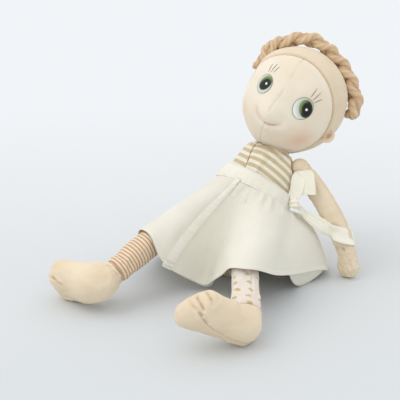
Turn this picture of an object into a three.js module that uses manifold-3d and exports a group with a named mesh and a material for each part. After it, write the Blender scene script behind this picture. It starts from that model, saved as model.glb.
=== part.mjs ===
import * as THREE from 'three'
import { mergeVertices } from 'three/addons/utils/BufferGeometryUtils.js'
import Module from 'manifold-3d'

// A seated cloth doll: stuffed jersey head, body and limbs, a plaited hoop of hair, and a wrap skirt
// tied at its left side. Millimetres, +Z up, the doll faces -Y, its left hand is at +X.
// The origin is on the floor, in the middle of the flat patch that it sits on.

const wasm = await Module()
wasm.setup()

// Driving sizes
const headRadius = 47.5
const torsoLength = 128
const torsoHalfWidth = 34
const torsoHalfDepth = 26.5
const armLength = 117
const armRadius = 8
const legLength = 101
const legRadius = 12.5
const footLength = 70
const footHalfWidth = 21
const footHalfHeight = 14.5
const skirtFront = 80
const skirtSide = 80
const skirtBack = 80

// Cloth and clearances
const jersey = 1.2
const cotton = 1.1
const gap = 0.35
const overrun = 3
const floorFlat = 0.5
const limbClear = 0.7
const beyond = 400

// Pose, in degrees
const leanBack = 30.6
const legSpread = { left: 29, right: 21 }

// Facets: sides round a form and rings along it, fine for what shows and coarse for what is inside
const headFacets = { fine: [28, 18], coarse: [16, 10] }
const torsoFacets = { fine: [22, 14], coarse: [12, 8] }
const limbFacets = { fine: [14, 10], coarse: [8, 7] }
const footFacets = { fine: [16, 12], coarse: [10, 8] }
const ballFacets = [16, 10]
const roomFacets = 12
const smallFacets = [12, 8]
const shellSteps = 5
const capSteps = 4
const ballShare = Math.cos(Math.PI / ballFacets[0]) * Math.cos(Math.PI / (2 * ballFacets[1]))

const X = new THREE.Vector3(1, 0, 0)
const Z = new THREE.Vector3(0, 0, 1)
const at = (x, y, z) => new THREE.Vector3(x, y, z)
const radians = THREE.MathUtils.degToRad
const origin = at(0, 0, 0)

// Colours
const skinTone = 0xe9dcc4
const hairTone = 0xe0c090
const capTone = 0xe2d2b2
const wool = 0xefe9dc
const khakiStripe = 0xd9cba6
const creamCotton = 0xe8e6dc
const irisGreen = 0x5f7038

// Sampling: the step for a slope on a surface, and the halvings that settle a limb on the floor
const slopeStep = 1e-3
const settleSteps = 40

// Solids

function toSolid(geometry) {
  const bare = geometry.clone()
  for (const name of Object.keys(bare.attributes)) if (name !== 'position') bare.deleteAttribute(name)
  const merged = mergeVertices(bare)
  const corners = merged.index.array
  const faces = []
  for (let i = 0; i < corners.length; i += 3) {
    const [a, b, c] = corners.slice(i, i + 3)
    if (a !== b && b !== c && a !== c) faces.push(a, b, c)
  }
  return new wasm.Manifold(new wasm.Mesh({
    numProp: 3,
    vertProperties: new Float32Array(merged.attributes.position.array),
    triVerts: new Uint32Array(faces),
  }))
}

function toGeometry(solid) {
  const mesh = solid.getMesh()
  const geometry = new THREE.BufferGeometry()
  geometry.setAttribute('position', new THREE.BufferAttribute(mesh.vertProperties, 3))
  geometry.setIndex(new THREE.BufferAttribute(mesh.triVerts, 1))
  geometry.computeVertexNormals()
  return geometry
}

function addPiece(parent, name, solid, colour, roughness = 0.95) {
  const material = new THREE.MeshStandardMaterial({ color: colour, roughness, metalness: 0 })
  const mesh = new THREE.Mesh(toGeometry(solid), material)
  mesh.name = name
  parent.add(mesh)
}

// Everything on the side of a plane that the normal points to
function halfSpace(point, normal) {
  const block = new THREE.BoxGeometry(beyond, beyond, beyond)
  const outward = normal.clone().normalize()
  const middle = outward.clone().multiplyScalar(beyond / 2).add(point)
  const turn = new THREE.Quaternion().setFromUnitVectors(Z, outward)
  block.applyMatrix4(new THREE.Matrix4().compose(middle, turn, at(1, 1, 1)))
  return toSolid(block)
}

// What lies under the floor, in the frame of a placed group
function underFloor(group) {
  group.updateWorldMatrix(true, false)
  const inverse = group.matrixWorld.clone().invert()
  return halfSpace(origin.clone().applyMatrix4(inverse), at(0, 0, -1).transformDirection(inverse))
}

// The main body of a solid, without the slivers that a cut leaves
const largest = solid => solid.decompose().reduce((a, b) => (a.volume() > b.volume() ? a : b))

const cutAll = (solid, cuts) => cuts.reduce((left, cut) => left.subtract(cut), solid)

function ball(centre, radius) {
  const sphere = new THREE.SphereGeometry(radius, ...ballFacets)
  sphere.rotateX(Math.PI / 2)
  sphere.translate(centre.x, centre.y, centre.z)
  return toSolid(sphere)
}

// The corner radius of a faceted ball whose flats stay clear of a ball inside it
const around = radius => (radius + gap) / ballShare

// Part of a hollow ball about the centre, between two angles from its -Z or +Z pole
function hollowBall(inner, outer, from, to, steps) {
  const arc = (radius, start, end) => Array.from({ length: steps + 1 }, (_, i) => {
    const angle = radians(THREE.MathUtils.lerp(start, end, i / steps))
    return new THREE.Vector2(Math.max(0, radius * Math.sin(angle)), radius * Math.cos(angle))
  })
  const profile = [...arc(outer, to, from), ...arc(inner, from, to)]
  profile.push(profile[0].clone())
  const shell = new THREE.LatheGeometry(profile, ballFacets[0])
  shell.rotateX(Math.PI / 2)
  return toSolid(shell)
}

// Stuffed forms: a unit sphere drawn along a centre line. A station gives a share of the line,
// then half the width and half the depth there. ends holds the length of each rounded end.

function widthsAt(stations, share) {
  let i = 0
  while (i < stations.length - 2 && share > stations[i + 1][0]) i++
  const [low, high] = [stations[i], stations[i + 1]]
  const part = THREE.MathUtils.smoothstep(share, low[0], high[0])
  return [1, 2].map(k => THREE.MathUtils.lerp(low[k], high[k], part))
}

function sectionAt({ line, side, stations }, distance) {
  const length = line.getLength()
  const share = THREE.MathUtils.clamp(distance / length, 0, 1)
  const tangent = line.getTangentAt(share)
  const centre = line.getPointAt(share).addScaledVector(tangent, distance - share * length)
  const across = side.clone().addScaledVector(tangent, -side.dot(tangent)).normalize()
  const through = across.clone().cross(tangent)
  return { centre, across, through, tangent, widths: widthsAt(stations, share) }
}

function stuffed(form, [sides, rings], inset = 0, poke = 0) {
  const [startEnd, finishEnd] = inset ? form.innerEnds ?? form.ends : form.ends
  const geometry = new THREE.SphereGeometry(1, sides, rings)
  const place = geometry.attributes.position
  const start = startEnd ? inset : -poke
  const finish = form.line.getLength() + (finishEnd ? -inset : poke)
  const lastRing = Math.cos(Math.PI / rings)
  const low = startEnd ? -1 : -lastRing
  const high = finishEnd ? 1 : lastRing
  const unit = new THREE.Vector3()
  for (let i = 0; i < place.count; i++) {
    unit.fromBufferAttribute(place, i)
    const run = THREE.MathUtils.clamp((unit.y - low) / (high - low), 0, 1)
    const distance = THREE.MathUtils.lerp(start, finish, run)
    const { centre, across, through, widths } = sectionAt(form, distance)
    const fromStart = startEnd ? Math.min(1, (distance - start) / (startEnd - inset)) : 1
    const fromFinish = finishEnd ? Math.min(1, (finish - distance) / (finishEnd - inset)) : 1
    const rounding = Math.sqrt(1 - (1 - fromStart) ** 2) * Math.sqrt(1 - (1 - fromFinish) ** 2)
    const girth = Math.hypot(unit.x, unit.z)
    const reach = girth > 1e-6 ? rounding / girth : 0
    centre.addScaledVector(across, (widths[0] - inset) * reach * unit.x)
    centre.addScaledVector(through, (widths[1] - inset) * reach * unit.z)
    place.setXYZ(i, centre.x, centre.y, centre.z)
  }
  return toSolid(geometry)
}

const tube = (points, tension = 0.5) => new THREE.CatmullRomCurve3(points, false, 'catmullrom', tension)

// A cloth of even thickness over a surface(across, down); a ring closes on itself across
function sheet(surface, columns, rows, thickness, ring = false) {
  const wide = ring ? columns : columns + 1
  const step = slopeStep
  const points = []
  for (const face of [0.5, -0.5]) {
    for (let j = 0; j <= rows; j++) {
      for (let i = 0; i < wide; i++) {
        const [u, v] = [i / columns, j / rows]
        const near = surface(u, v)
        const along = surface(u + (u < 1 ? step : -step), v).sub(near).multiplyScalar(u < 1 ? 1 : -1)
        const down = surface(u, v + (v < 1 ? step : -step)).sub(near).multiplyScalar(v < 1 ? 1 : -1)
        points.push(near.addScaledVector(down.cross(along).normalize(), face * thickness))
      }
    }
  }
  const layer = wide * (rows + 1)
  const corner = (face, i, j) => face * layer + j * wide + (i % wide)
  const faces = []
  const quad = (a, b, c, d) => faces.push(a, b, c, a, c, d)
  for (let j = 0; j < rows; j++) {
    for (let i = 0; i < columns; i++) {
      quad(corner(0, i, j), corner(0, i, j + 1), corner(0, i + 1, j + 1), corner(0, i + 1, j))
      quad(corner(1, i, j), corner(1, i + 1, j), corner(1, i + 1, j + 1), corner(1, i, j + 1))
    }
  }
  for (let i = 0; i < columns; i++) {
    quad(corner(0, i, 0), corner(0, i + 1, 0), corner(1, i + 1, 0), corner(1, i, 0))
    quad(corner(0, i + 1, rows), corner(0, i, rows), corner(1, i, rows), corner(1, i + 1, rows))
  }
  for (let j = 0; j < rows && !ring; j++) {
    quad(corner(0, 0, j + 1), corner(0, 0, j), corner(1, 0, j), corner(1, 0, j + 1))
    quad(corner(0, columns, j), corner(0, columns, j + 1), corner(1, columns, j + 1), corner(1, columns, j))
  }
  const geometry = new THREE.BufferGeometry()
  geometry.setAttribute('position', new THREE.Float32BufferAttribute(points.flatMap(p => p.toArray()), 3))
  geometry.setIndex(faces)
  return toSolid(geometry)
}

// The corners of a solid, as points
function cornersOf(solid) {
  const values = solid.getMesh().vertProperties
  return Array.from({ length: values.length / 3 }, (_, i) => new THREE.Vector3().fromArray(values, i * 3))
}

// The angle, in degrees, at which a turned solid just reaches the depth of its floor flat
function settle(solid, place, from, to) {
  const corners = cornersOf(solid)
  let [high, low] = [from, to]
  for (let i = 0; i < settleSteps; i++) {
    const middle = (high + low) / 2
    const matrix = place(middle)
    const bottom = Math.min(...corners.map(corner => corner.clone().applyMatrix4(matrix).z))
    if (bottom > -floorFlat) high = middle
    else low = middle
  }
  return high
}

const doll = new THREE.Group()

// Torso: striped jersey in two halves, sewn down the front and the back, round a stuffing

const hipSide = 18.5
const hipRadius = 12
const capThickness = 1.5
const neckRadius = 11.5
const sleeveThickness = 1.4
const shoulderRadius = 7.8
const seatBack = 8
const seatDrop = 18.5
const seatEnd = 22
const neckEnd = 16
const chinRoom = 4.5
const neckSink = 5
const neckLean = 20
const shoulderSide = { left: 28, right: 25 }
const shoulderDrop = { left: 5, right: 9 }
const shoulderBack = { left: 6, right: 11 }

const sleeveInner = around(neckRadius)
const sleeveOuter = sleeveInner + sleeveThickness
const neckSocket = around(sleeveOuter)
const hipCapInner = around(hipRadius)
const hipSocket = around(hipCapInner + capThickness)
const shoulderCapInner = around(shoulderRadius)
const shoulderSocket = around(shoulderCapInner + capThickness)

const spineShares = [[0, 0], [0.25, 0.03], [0.6, 0.35], [1, 1]]
const torsoStationShares = [
  [0, 1, 1], [0.2, 1, 1], [0.45, 1.02, 1.01], [0.66, 1.01, 0.96], [0.82, 0.93, 0.88], [1, 0.76, 0.76],
]
const torsoForm = {
  line: tube(spineShares.map(([up, lean]) => at(neckLean * lean, seatBack, torsoLength * up - seatDrop))),
  side: X,
  stations: torsoStationShares.map(([s, w, d]) => [s, w * torsoHalfWidth, d * torsoHalfDepth]),
  ends: [seatEnd, neckEnd],
}
const torsoOuter = stuffed(torsoForm, torsoFacets.fine)
const spineTop = sectionAt(torsoForm, torsoForm.line.getLength() - neckSink)
const neckPoint = spineTop.centre.clone()

// The lowest point of the leaning torso comes to the origin, sunk by the depth of its flat
const torso = new THREE.Group()
torso.rotation.x = radians(-leanBack)
const leaning = cornersOf(torsoOuter).map(corner => corner.applyEuler(torso.rotation))
const lowest = leaning.reduce((low, corner) => (corner.z < low.z ? corner : low))
torso.position.set(0, -lowest.y, -lowest.z - floorFlat)
torso.updateMatrixWorld()
doll.add(torso)
const toTorso = torso.matrixWorld.clone().invert()
const fromTorso = point => point.clone().applyMatrix4(torso.matrixWorld)

const hipPoint = side => at(side * hipSide, 0, 0)
const shoulderPoint = (side, word) => neckPoint.clone()
  .addScaledVector(spineTop.across, side * shoulderSide[word])
  .addScaledVector(spineTop.tangent, -shoulderDrop[word])
  .addScaledVector(spineTop.through, -shoulderBack[word])

const sides = [[-1, 'right'], [1, 'left']]
const onSide = side => halfSpace(at(side * gap / 2, 0, 0), at(side, 0, 0))

// The room that a limb needs in the torso: a tube from its joint, in world directions
function limbRoom(joint, direction, radius) {
  const room = new THREE.CylinderGeometry(radius, radius, beyond, roomFacets)
  room.rotateX(Math.PI / 2)
  room.translate(0, 0, beyond / 2)
  const turn = new THREE.Quaternion().setFromUnitVectors(Z, direction.clone().normalize())
  const place = new THREE.Matrix4().compose(joint, turn, at(1, 1, 1))
  return toSolid(room.applyMatrix4(toTorso.clone().multiply(place)))
}

const torsoCuts = [
  underFloor(torso),
  ball(neckPoint, neckSocket),
  ...sides.map(([side, word]) => ball(shoulderPoint(side, word), shoulderSocket)),
  ...sides.map(([side]) => ball(hipPoint(side), hipSocket)),
]

// Neck: a plug of stuffing in a jersey sleeve

const headSeat = { back: 27.9, side: 9 }
const sleeveOpen = 42
const sleeveReach = 125

const headDirection = Z.clone().applyEuler(new THREE.Euler(radians(-headSeat.back), radians(headSeat.side), 0))
const neck = new THREE.Group()
neck.position.copy(fromTorso(neckPoint))
neck.quaternion.setFromUnitVectors(Z, headDirection)
doll.add(neck)
addPiece(neck, 'neck_stuffing', ball(origin, neckRadius), wool)
const sleeve = hollowBall(sleeveInner, sleeveOuter, sleeveOpen, sleeveReach, shellSteps)
addPiece(neck, 'neck_sleeve', sleeve, skinTone)

// Head: two face panels and two scalp panels of jersey over a ball of stuffing

const neckShow = 2.5
const headTurn = { pitch: -30.8, roll: 24.3, yaw: 1.9 }
const seamTurn = -3
const hairlineTilt = 29.5
const hairlineShare = 0.387
const snout = { up: -38, side: -4, spread: 17, height: 4.5 }
const cheek = { up: -36, side: 40, spread: 20, height: 1.5 }

const head = new THREE.Group()
head.position.copy(neck.position).addScaledVector(headDirection, headRadius + neckShow)
head.rotation.set(...['pitch', 'roll', 'yaw'].map(name => radians(headTurn[name])), 'ZYX')
head.updateMatrixWorld()
doll.add(head)
const neckInHead = neck.position.clone().applyMatrix4(head.matrixWorld.clone().invert())

// A direction in the head's frame, in degrees up from the front and round to the doll's left
const facing = (side, up) => at(
  Math.sin(radians(side)) * Math.cos(radians(up)),
  -Math.cos(radians(side)) * Math.cos(radians(up)),
  Math.sin(radians(up)),
)

function headReach(direction) {
  const bumps = [snout, cheek, { ...cheek, side: -cheek.side }]
  return headRadius + bumps.reduce((sum, bump) => {
    const away = THREE.MathUtils.radToDeg(direction.angleTo(facing(bump.side, bump.up)))
    return sum + bump.height * Math.exp(-((away / bump.spread) ** 2))
  }, 0)
}

function headForm(facets, inset = 0) {
  const sphere = new THREE.SphereGeometry(1, ...facets)
  sphere.rotateX(Math.PI / 2)
  const place = sphere.attributes.position
  const direction = new THREE.Vector3()
  for (let i = 0; i < place.count; i++) {
    direction.fromBufferAttribute(place, i).normalize()
    direction.multiplyScalar(headReach(direction) - inset)
    place.setXYZ(i, direction.x, direction.y, direction.z)
  }
  return toSolid(sphere)
}

torsoCuts.push(ball(head.position.clone().applyMatrix4(toTorso), headRadius + chinRoom))
const neckHole = ball(neckInHead, neckSocket)
const headOuter = headForm(headFacets.fine)
const headSkin = headOuter.subtract(headForm(headFacets.coarse, jersey)).subtract(neckHole)
const hairlineNormal = facing(0, -hairlineTilt)
const hairlinePoint = hairlineNormal.clone().multiplyScalar(hairlineShare * headRadius)
const faceSide = halfSpace(hairlinePoint.clone().addScaledVector(hairlineNormal, gap / 2), hairlineNormal)
const scalpSide = halfSpace(
  hairlinePoint.clone().addScaledVector(hairlineNormal, -gap / 2),
  hairlineNormal.clone().negate(),
)
for (const [side, word] of sides) {
  const seam = facing(seamTurn + 90 * side, 0)
  const half = halfSpace(seam.clone().multiplyScalar(gap / 2), seam)
  addPiece(head, `face_${word}`, largest(headSkin.intersect(faceSide).intersect(half)), skinTone)
  addPiece(head, `scalp_${word}`, largest(headSkin.intersect(scalpSide).intersect(onSide(side))), capTone)
}
addPiece(head, 'head_stuffing', headForm(headFacets.coarse, jersey + gap).subtract(neckHole), wool)

// Ears: small folds of jersey caught in the hairline seam

const earSide = { left: 79, right: 104 }
const earUp = -18
const earHalf = { depth: 2.6, width: 4.2, height: 5.4 }
const earFacets = [10, 6]
for (const [side, word] of sides) {
  const fold = new THREE.SphereGeometry(1, ...earFacets)
  fold.scale(earHalf.depth, earHalf.width, earHalf.height)
  const root = facing(side * earSide[word], earUp)
  root.multiplyScalar(headRadius + gap)
  fold.translate(root.x, root.y, root.z)
  addPiece(head, `ear_${word}`, toSolid(fold).subtract(headForm(headFacets.fine, -gap)), skinTone)
}

// Eyes: satin-stitched ovals that stand a thread's height above the face

const eyeUp = -10.8
const eyeTurn = { left: 26.3, right: -25.1 }
const eyeHalfWidth = 9.4
const eyeHalfHeight = 10.4
const stitchHeight = 0.8
const eyeFacets = [16, 8]
for (const word of ['right', 'left']) {
  const oval = new THREE.SphereGeometry(1, ...eyeFacets)
  const place = oval.attributes.position
  const spread = length => THREE.MathUtils.radToDeg(length / headRadius)
  for (let i = 0; i < place.count; i++) {
    const side = eyeTurn[word] + place.getX(i) * spread(eyeHalfWidth)
    const direction = facing(side, eyeUp + place.getZ(i) * spread(eyeHalfHeight))
    const lift = gap + stitchHeight * (1 - place.getY(i)) / 2
    direction.multiplyScalar(headReach(direction) + lift)
    place.setXYZ(i, direction.x, direction.y, direction.z)
  }
  addPiece(head, `eye_${word}`, toSolid(oval), irisGreen)
}

// Hair: three stuffed strands plaited into a hoop from ear to ear, sewn on at its ends

const strandRadius = 2.35
const plaitHalfWidth = 5
const plaitHalfDepth = 3.3
const plaitTurns = 3
const hoopTilt = 4
// The hoop is sewn on askew, its left end nearer the back
const hoopTurn = 12
const hoopEnds = [15, 179]
const loosenings = [
  { turn: 30, spread: 12, height: 2 }, { turn: 108, spread: 18, height: 4 }, { turn: 152, spread: 10, height: 2.5 },
]

class Strand extends THREE.Curve {
  constructor(order) {
    super()
    this.order = order
  }

  getPoint(share) {
    const turn = THREE.MathUtils.lerp(...hoopEnds, share)
    const weave = 2 * Math.PI * (plaitTurns * share + this.order / 3)
    const loose = loosenings.reduce((sum, { turn: middle, spread, height }) =>
      sum + height * Math.exp(-(((turn - middle) / spread) ** 2)), 0)
    const inside = plaitHalfDepth + strandRadius
    const reach = headRadius + inside + loose + plaitHalfDepth * Math.sin(2 * weave)
    const point = at(reach * Math.cos(radians(turn)), 0, reach * Math.sin(radians(turn)))
    point.y = plaitHalfWidth * Math.sin(weave)
    return point.applyAxisAngle(X, radians(-hoopTilt)).applyAxisAngle(Z, radians(hoopTurn))
  }
}

const strandSteps = 52
const strandCurve = 3
const strandSection = new THREE.Shape()
strandSection.absarc(0, 0, strandRadius, 0, 2 * Math.PI)
for (const order of [0, 1, 2]) {
  const strand = new THREE.ExtrudeGeometry(strandSection, {
    extrudePath: new Strand(order), steps: strandSteps, curveSegments: strandCurve, bevelEnabled: false,
  })
  addPiece(head, `braid_strand_${order + 1}`, toSolid(strand), hairTone)
}

// Arms: jersey tubes, open at the shoulder, with a mitten hand. Each hangs from a ball joint
// and comes down until its hand lies on the floor; too short an arm hangs straight down.

const armBow = 11.5
const handHalfWidth = 11.2
const handHalfDepth = 8
const handEnd = 9
const armTurn = { left: 0, right: 110 }
const roundAngle = 45
const armDrops = [0, 90]
// Turns about the upright, in degrees, at which an arm is given room in the torso
const armReaches = { left: [-20, 0, 36], right: [-31, 0, 20, 41] }

// The first two bends are in line, so that the rounded top is a true ball about the joint
const armBends = [[0.22, 0.6], [0.5, 0.98], [0.75, 0.95], [0.9, 0.6], [1, 0.1]].map(([down, out]) =>
  at(out * armBow, 0, -down * (armLength - shoulderRadius)))
const armStart = armBends[0].clone().normalize()
const armForm = {
  line: tube([armStart.clone().multiplyScalar(-shoulderRadius), origin, ...armBends]),
  side: X,
  stations: [
    [0, shoulderRadius, shoulderRadius], [0.3, armRadius, armRadius], [0.7, 1.04 * armRadius, armRadius],
    [0.76, 1.02 * armRadius, 0.95 * armRadius], [0.9, handHalfWidth, handHalfDepth],
    [1, 0.95 * handHalfWidth, handHalfDepth],
  ],
  ends: [shoulderRadius, handEnd],
  innerEnds: [0, handEnd],
}
const armOuter = stuffed(armForm, limbFacets.fine)
const arms = {}
for (const [side, word] of sides) {
  const outward = X.clone().applyAxisAngle(Z, radians(armTurn[word]))
  const place = drop => {
    const [along, down] = [Math.cos(radians(drop)), Math.sin(radians(drop))]
    const across = outward.clone().multiplyScalar(down).setZ(along)
    const up = outward.clone().multiplyScalar(-along).setZ(down)
    return new THREE.Matrix4().makeBasis(across, up.clone().cross(across), up)
      .setPosition(fromTorso(shoulderPoint(side, word)))
  }
  const arm = new THREE.Group()
  place(settle(armOuter, place, ...armDrops)).decompose(arm.position, arm.quaternion, arm.scale)
  doll.add(arm)
  arms[word] = arm
  const reach = armStart.clone().applyQuaternion(arm.quaternion)
  for (const swing of armReaches[word]) {
    const swung = reach.clone().applyAxisAngle(Z, radians(-side * swing))
    torsoCuts.push(limbRoom(arm.position, swung, armRadius + limbClear))
  }
  const floor = underFloor(arm)
  const skin = armOuter.subtract(stuffed(armForm, limbFacets.coarse, jersey, overrun)).subtract(floor)
  const core = stuffed(armForm, limbFacets.coarse, jersey + gap, overrun).intersect(armOuter).subtract(floor)
  addPiece(arm, `arm_skin_${word}`, skin, skinTone)
  addPiece(arm, `arm_stuffing_${word}`, core, wool)

  const round = new THREE.Group()
  round.position.copy(arm.position)
  round.quaternion.setFromUnitVectors(Z, reach.clone().negate())
  doll.add(round)
  const cap = hollowBall(shoulderCapInner, shoulderCapInner + capThickness, 0, roundAngle, capSteps)
  addPiece(round, `shoulder_round_${word}`, cap, skinTone)
}

// Legs: printed jersey tubes on ball joints at the hips, arched over the knee

const kneeRise = { left: 17, right: 24 }
// Swing down and spread outward, in degrees, at which a leg is given room in the torso
const legReaches = [[-6, 0], [-3, -13], [0, -13], [-3, 17], [0, 17], [22, 3], [43, 3], [62, 0], [62, 16]]
const kneeShare = 0.45
const ankleRadius = { left: 12.6, right: 11 }
const legTones = { left: 0xe6ddd0, right: 0xd4b394 }
const ankleTurn = { left: 55, right: 94 }
const ankleFlex = { left: 4, right: 17 }
const heelBack = 12
const footDepth = 15
const heelEnd = 15
const toeEnd = 11
const archRise = 3
const hipRoundLean = 5
const hipRoundAngle = 60
const legDrops = [-30, 60]

const footForm = {
  line: tube([
    at(0, -heelBack, footDepth), at(0, 0, footDepth),
    at(0, footLength / 2 - heelBack, footDepth + archRise / 2),
    at(0, footLength - heelBack, footDepth + archRise),
  ]),
  side: X,
  stations: [
    [0, 0.8 * footHalfWidth, footHalfHeight], [0.25, 0.86 * footHalfWidth, 1.03 * footHalfHeight],
    [0.55, 0.94 * footHalfWidth, 0.93 * footHalfHeight], [0.78, footHalfWidth, 0.84 * footHalfHeight],
    [1, 0.84 * footHalfWidth, 0.68 * footHalfHeight],
  ],
  ends: [heelEnd, toeEnd],
}

// The foot with its ankle stub, which meets the leg face to face; a pointed foot's heel is cut clear of the leg
function footSolid(facets, word, inset = 0, poke = 0) {
  const radius = ankleRadius[word]
  const stub = new THREE.CylinderGeometry(radius + jersey - inset, radius - inset, footDepth + poke, facets[0])
  stub.rotateX(Math.PI / 2)
  stub.translate(0, 0, (footDepth - poke) / 2)
  const roomRadius = radius + jersey + gap + inset
  const room = new THREE.CylinderGeometry(roomRadius, roomRadius, legLength, facets[0])
  room.rotateX(Math.PI / 2)
  room.translate(0, 0, inset - legLength / 2)
  const flex = new THREE.Matrix4().makeRotationX(radians(ankleFlex[word]))
  return stuffed(footForm, facets, inset).transform(flex.toArray()).subtract(toSolid(room)).add(toSolid(stub))
}

const legFacetRun = 24
const hipLines = []
for (const [side, word] of sides) {
  const knee = at(0, -kneeShare * legLength, kneeRise[word])
  const legStart = knee.clone().normalize()
  const radius = ankleRadius[word]
  const legForm = {
    line: tube([legStart.clone().multiplyScalar(-hipRadius), origin, knee, at(0, -legLength, 0)]),
    side: X,
    stations: [
      [0, hipRadius, hipRadius], [0.12, hipRadius, hipRadius], [0.35, legRadius, legRadius],
      [0.75, (legRadius + radius) / 2, (legRadius + radius) / 2], [1, radius, radius],
    ],
    ends: [hipRadius, 0],
    innerEnds: [0, 0],
  }
  const shin = sectionAt(legForm, legForm.line.getLength())
  const toeUp = shin.tangent.clone().cross(shin.across)
  const ankle = new THREE.Matrix4()
    .makeBasis(toeUp.clone().cross(shin.tangent), toeUp, shin.tangent)
    .setPosition(shin.centre.clone().addScaledVector(shin.tangent, gap))
    .multiply(new THREE.Matrix4().makeRotationZ(radians(ankleTurn[word])))
  const footOuter = footSolid(footFacets.fine, word)
  const place = drop => new THREE.Matrix4()
    .makeRotationZ(radians(side * legSpread[word]))
    .multiply(new THREE.Matrix4().makeRotationX(radians(drop)))
    .setPosition(fromTorso(hipPoint(side)))
  const leg = new THREE.Group()
  const pitch = settle(footOuter, drop => place(drop).multiply(ankle), ...legDrops)
  place(pitch).decompose(leg.position, leg.quaternion, leg.scale)
  doll.add(leg)
  for (const [swing, spread] of legReaches) {
    const reach = legStart.clone().transformDirection(place(pitch + swing))
    reach.applyAxisAngle(Z, radians(side * spread))
    torsoCuts.push(limbRoom(leg.position, reach, legRadius + limbClear))
  }
  const hipLine = legForm.line.getPoints(legFacetRun).map(point => point.applyMatrix4(place(pitch)))
  hipLines.push(hipLine)
  const legOuter = stuffed(legForm, limbFacets.fine)
  const legFloor = underFloor(leg)
  const legSkin = legOuter.subtract(stuffed(legForm, limbFacets.coarse, jersey, overrun))
  const legCore = stuffed(legForm, limbFacets.coarse, jersey + gap, overrun).intersect(legOuter)
  addPiece(leg, `leg_skin_${word}`, legSkin.subtract(legFloor), legTones[word])
  addPiece(leg, `leg_stuffing_${word}`, legCore.subtract(legFloor), wool)

  const foot = new THREE.Group()
  ankle.decompose(foot.position, foot.quaternion, foot.scale)
  leg.add(foot)
  const footFloor = underFloor(foot)
  const footSkin = footOuter.subtract(footSolid(footFacets.coarse, word, jersey, overrun)).subtract(footFloor)
  const footCore = footSolid(footFacets.coarse, word, jersey + gap).subtract(footFloor)
  addPiece(foot, `foot_inner_${word}`, footSkin.intersect(onSide(-side)), skinTone)
  addPiece(foot, `foot_outer_${word}`, footSkin.intersect(onSide(side)), skinTone)
  addPiece(foot, `foot_stuffing_${word}`, footCore, wool)

  const round = new THREE.Group()
  round.position.copy(leg.position)
  const backward = at(0, Math.cos(radians(hipRoundLean)), Math.sin(radians(hipRoundLean)))
  round.quaternion.setFromUnitVectors(Z, backward.applyAxisAngle(Z, radians(side * legSpread[word])))
  doll.add(round)
  const cap = hollowBall(hipCapInner, hipCapInner + capThickness, 0, hipRoundAngle, capSteps)
  addPiece(round, `hip_round_${word}`, cap, khakiStripe)
}

const torsoSkin = cutAll(torsoOuter.subtract(stuffed(torsoForm, torsoFacets.coarse, jersey)), torsoCuts)
addPiece(torso, 'torso_right', torsoSkin.intersect(onSide(-1)), khakiStripe)
addPiece(torso, 'torso_left', torsoSkin.intersect(onSide(1)), khakiStripe)
addPiece(torso, 'torso_stuffing', cutAll(stuffed(torsoForm, torsoFacets.coarse, jersey + gap), torsoCuts), wool)

// Waistband: a doubled strip round the torso, with the skirt gathered under it

const bandHeight = 12.5
const bandDrop = 42
const bandClear = 0.8
const bandThickness = 1.6
const bandRise = { front: 5, left: -3 }
const bandFacets = [36, 2]

// A point on the torso's surface, by degrees round from the front and the distance up the spine
function onTorso(turn, distance, away) {
  const { centre, across, through, widths } = sectionAt(torsoForm, distance)
  centre.addScaledVector(across, (widths[0] + away) * Math.sin(radians(turn)))
  centre.addScaledVector(through, (widths[1] + away) * Math.cos(radians(turn)))
  return centre
}

// The band's middle, as a distance up the torso's line, hangs from the torso's top
const bandLine = turn =>
  torsoLength - bandDrop + bandRise.front * Math.cos(radians(turn)) + bandRise.left * Math.sin(radians(turn))
const band = (u, v) =>
  onTorso(360 * u, bandLine(360 * u) + bandHeight * (0.5 - v), bandClear + bandThickness / 2)
addPiece(torso, 'waistband', sheet(band, ...bandFacets, bandThickness, true), creamCotton)

// Skirt: one length of cotton, wrapped from its under edge round the back to its over edge

const wrapStart = 8
const wrapTurn = 388
const wrapSkew = 12
const lapRise = 2.4
const coverClear = 2.6
const skirtFacets = [54, 9]

// The hem, by degrees round the waist from the front: where it lies, in shares of the skirt's reach to
// the side, to the front or back, and of its side again for the height
const hemShares = [
  [-180, 0, 0.95, 0.02], [-150, -0.475, 0.82, 0.02], [-125, -0.79, 0.55, 0.02], [-100, -0.96, 0.17, 0.05],
  [-80, -0.985, -0.17, 0.175], [-65, -0.94, -0.44, 0.3], [-52, -0.84, -0.65, 0.41], [-40, -0.65, -0.985, 0.64],
  [-33, -0.53, -1.0, 0.7], [-26, -0.335, -1.1, 0.59], [-22, -0.32, -1.08, 0.45], [-18, -0.275, -0.95, 0.33],
  [-14, -0.225, -0.82, 0.23], [-9, -0.12, -0.62, 0.08], [-3, -0.03, -0.575, 0.02], [6, 0.065, -0.62, 0.1],
  [15, 0.21, -0.8, 0.25], [24, 0.45, -1.0, 0.44], [29, 0.59, -1.06, 0.53], [34.5, 0.715, -1.04, 0.59],
  [41, 0.8, -0.925, 0.54], [48, 0.845, -0.76, 0.44], [61, 0.83, -0.46, 0.31], [84, 0.86, -0.09, 0.19],
  [101, 0.93, 0.18, 0.15], [112, 0.985, 0.4, 0.075], [125, 0.86, 0.6, 0.025], [150, 0.49, 0.84, 0.02],
  [180, 0, 0.95, 0.02],
]
const hemLine = tube(hemShares.map(([, x, y, z]) =>
  at(x * skirtSide, y * (y < 0 ? skirtFront : skirtBack), z * skirtSide)))
function hemAt(turn) {
  const wrapped = ((turn + 180) % 360 + 360) % 360 - 180
  let i = 0
  while (i < hemShares.length - 2 && wrapped > hemShares[i + 1][0]) i++
  const part = (wrapped - hemShares[i][0]) / (hemShares[i + 1][0] - hemShares[i][0])
  return hemLine.getPoint((i + part) / (hemShares.length - 1))
}

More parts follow.
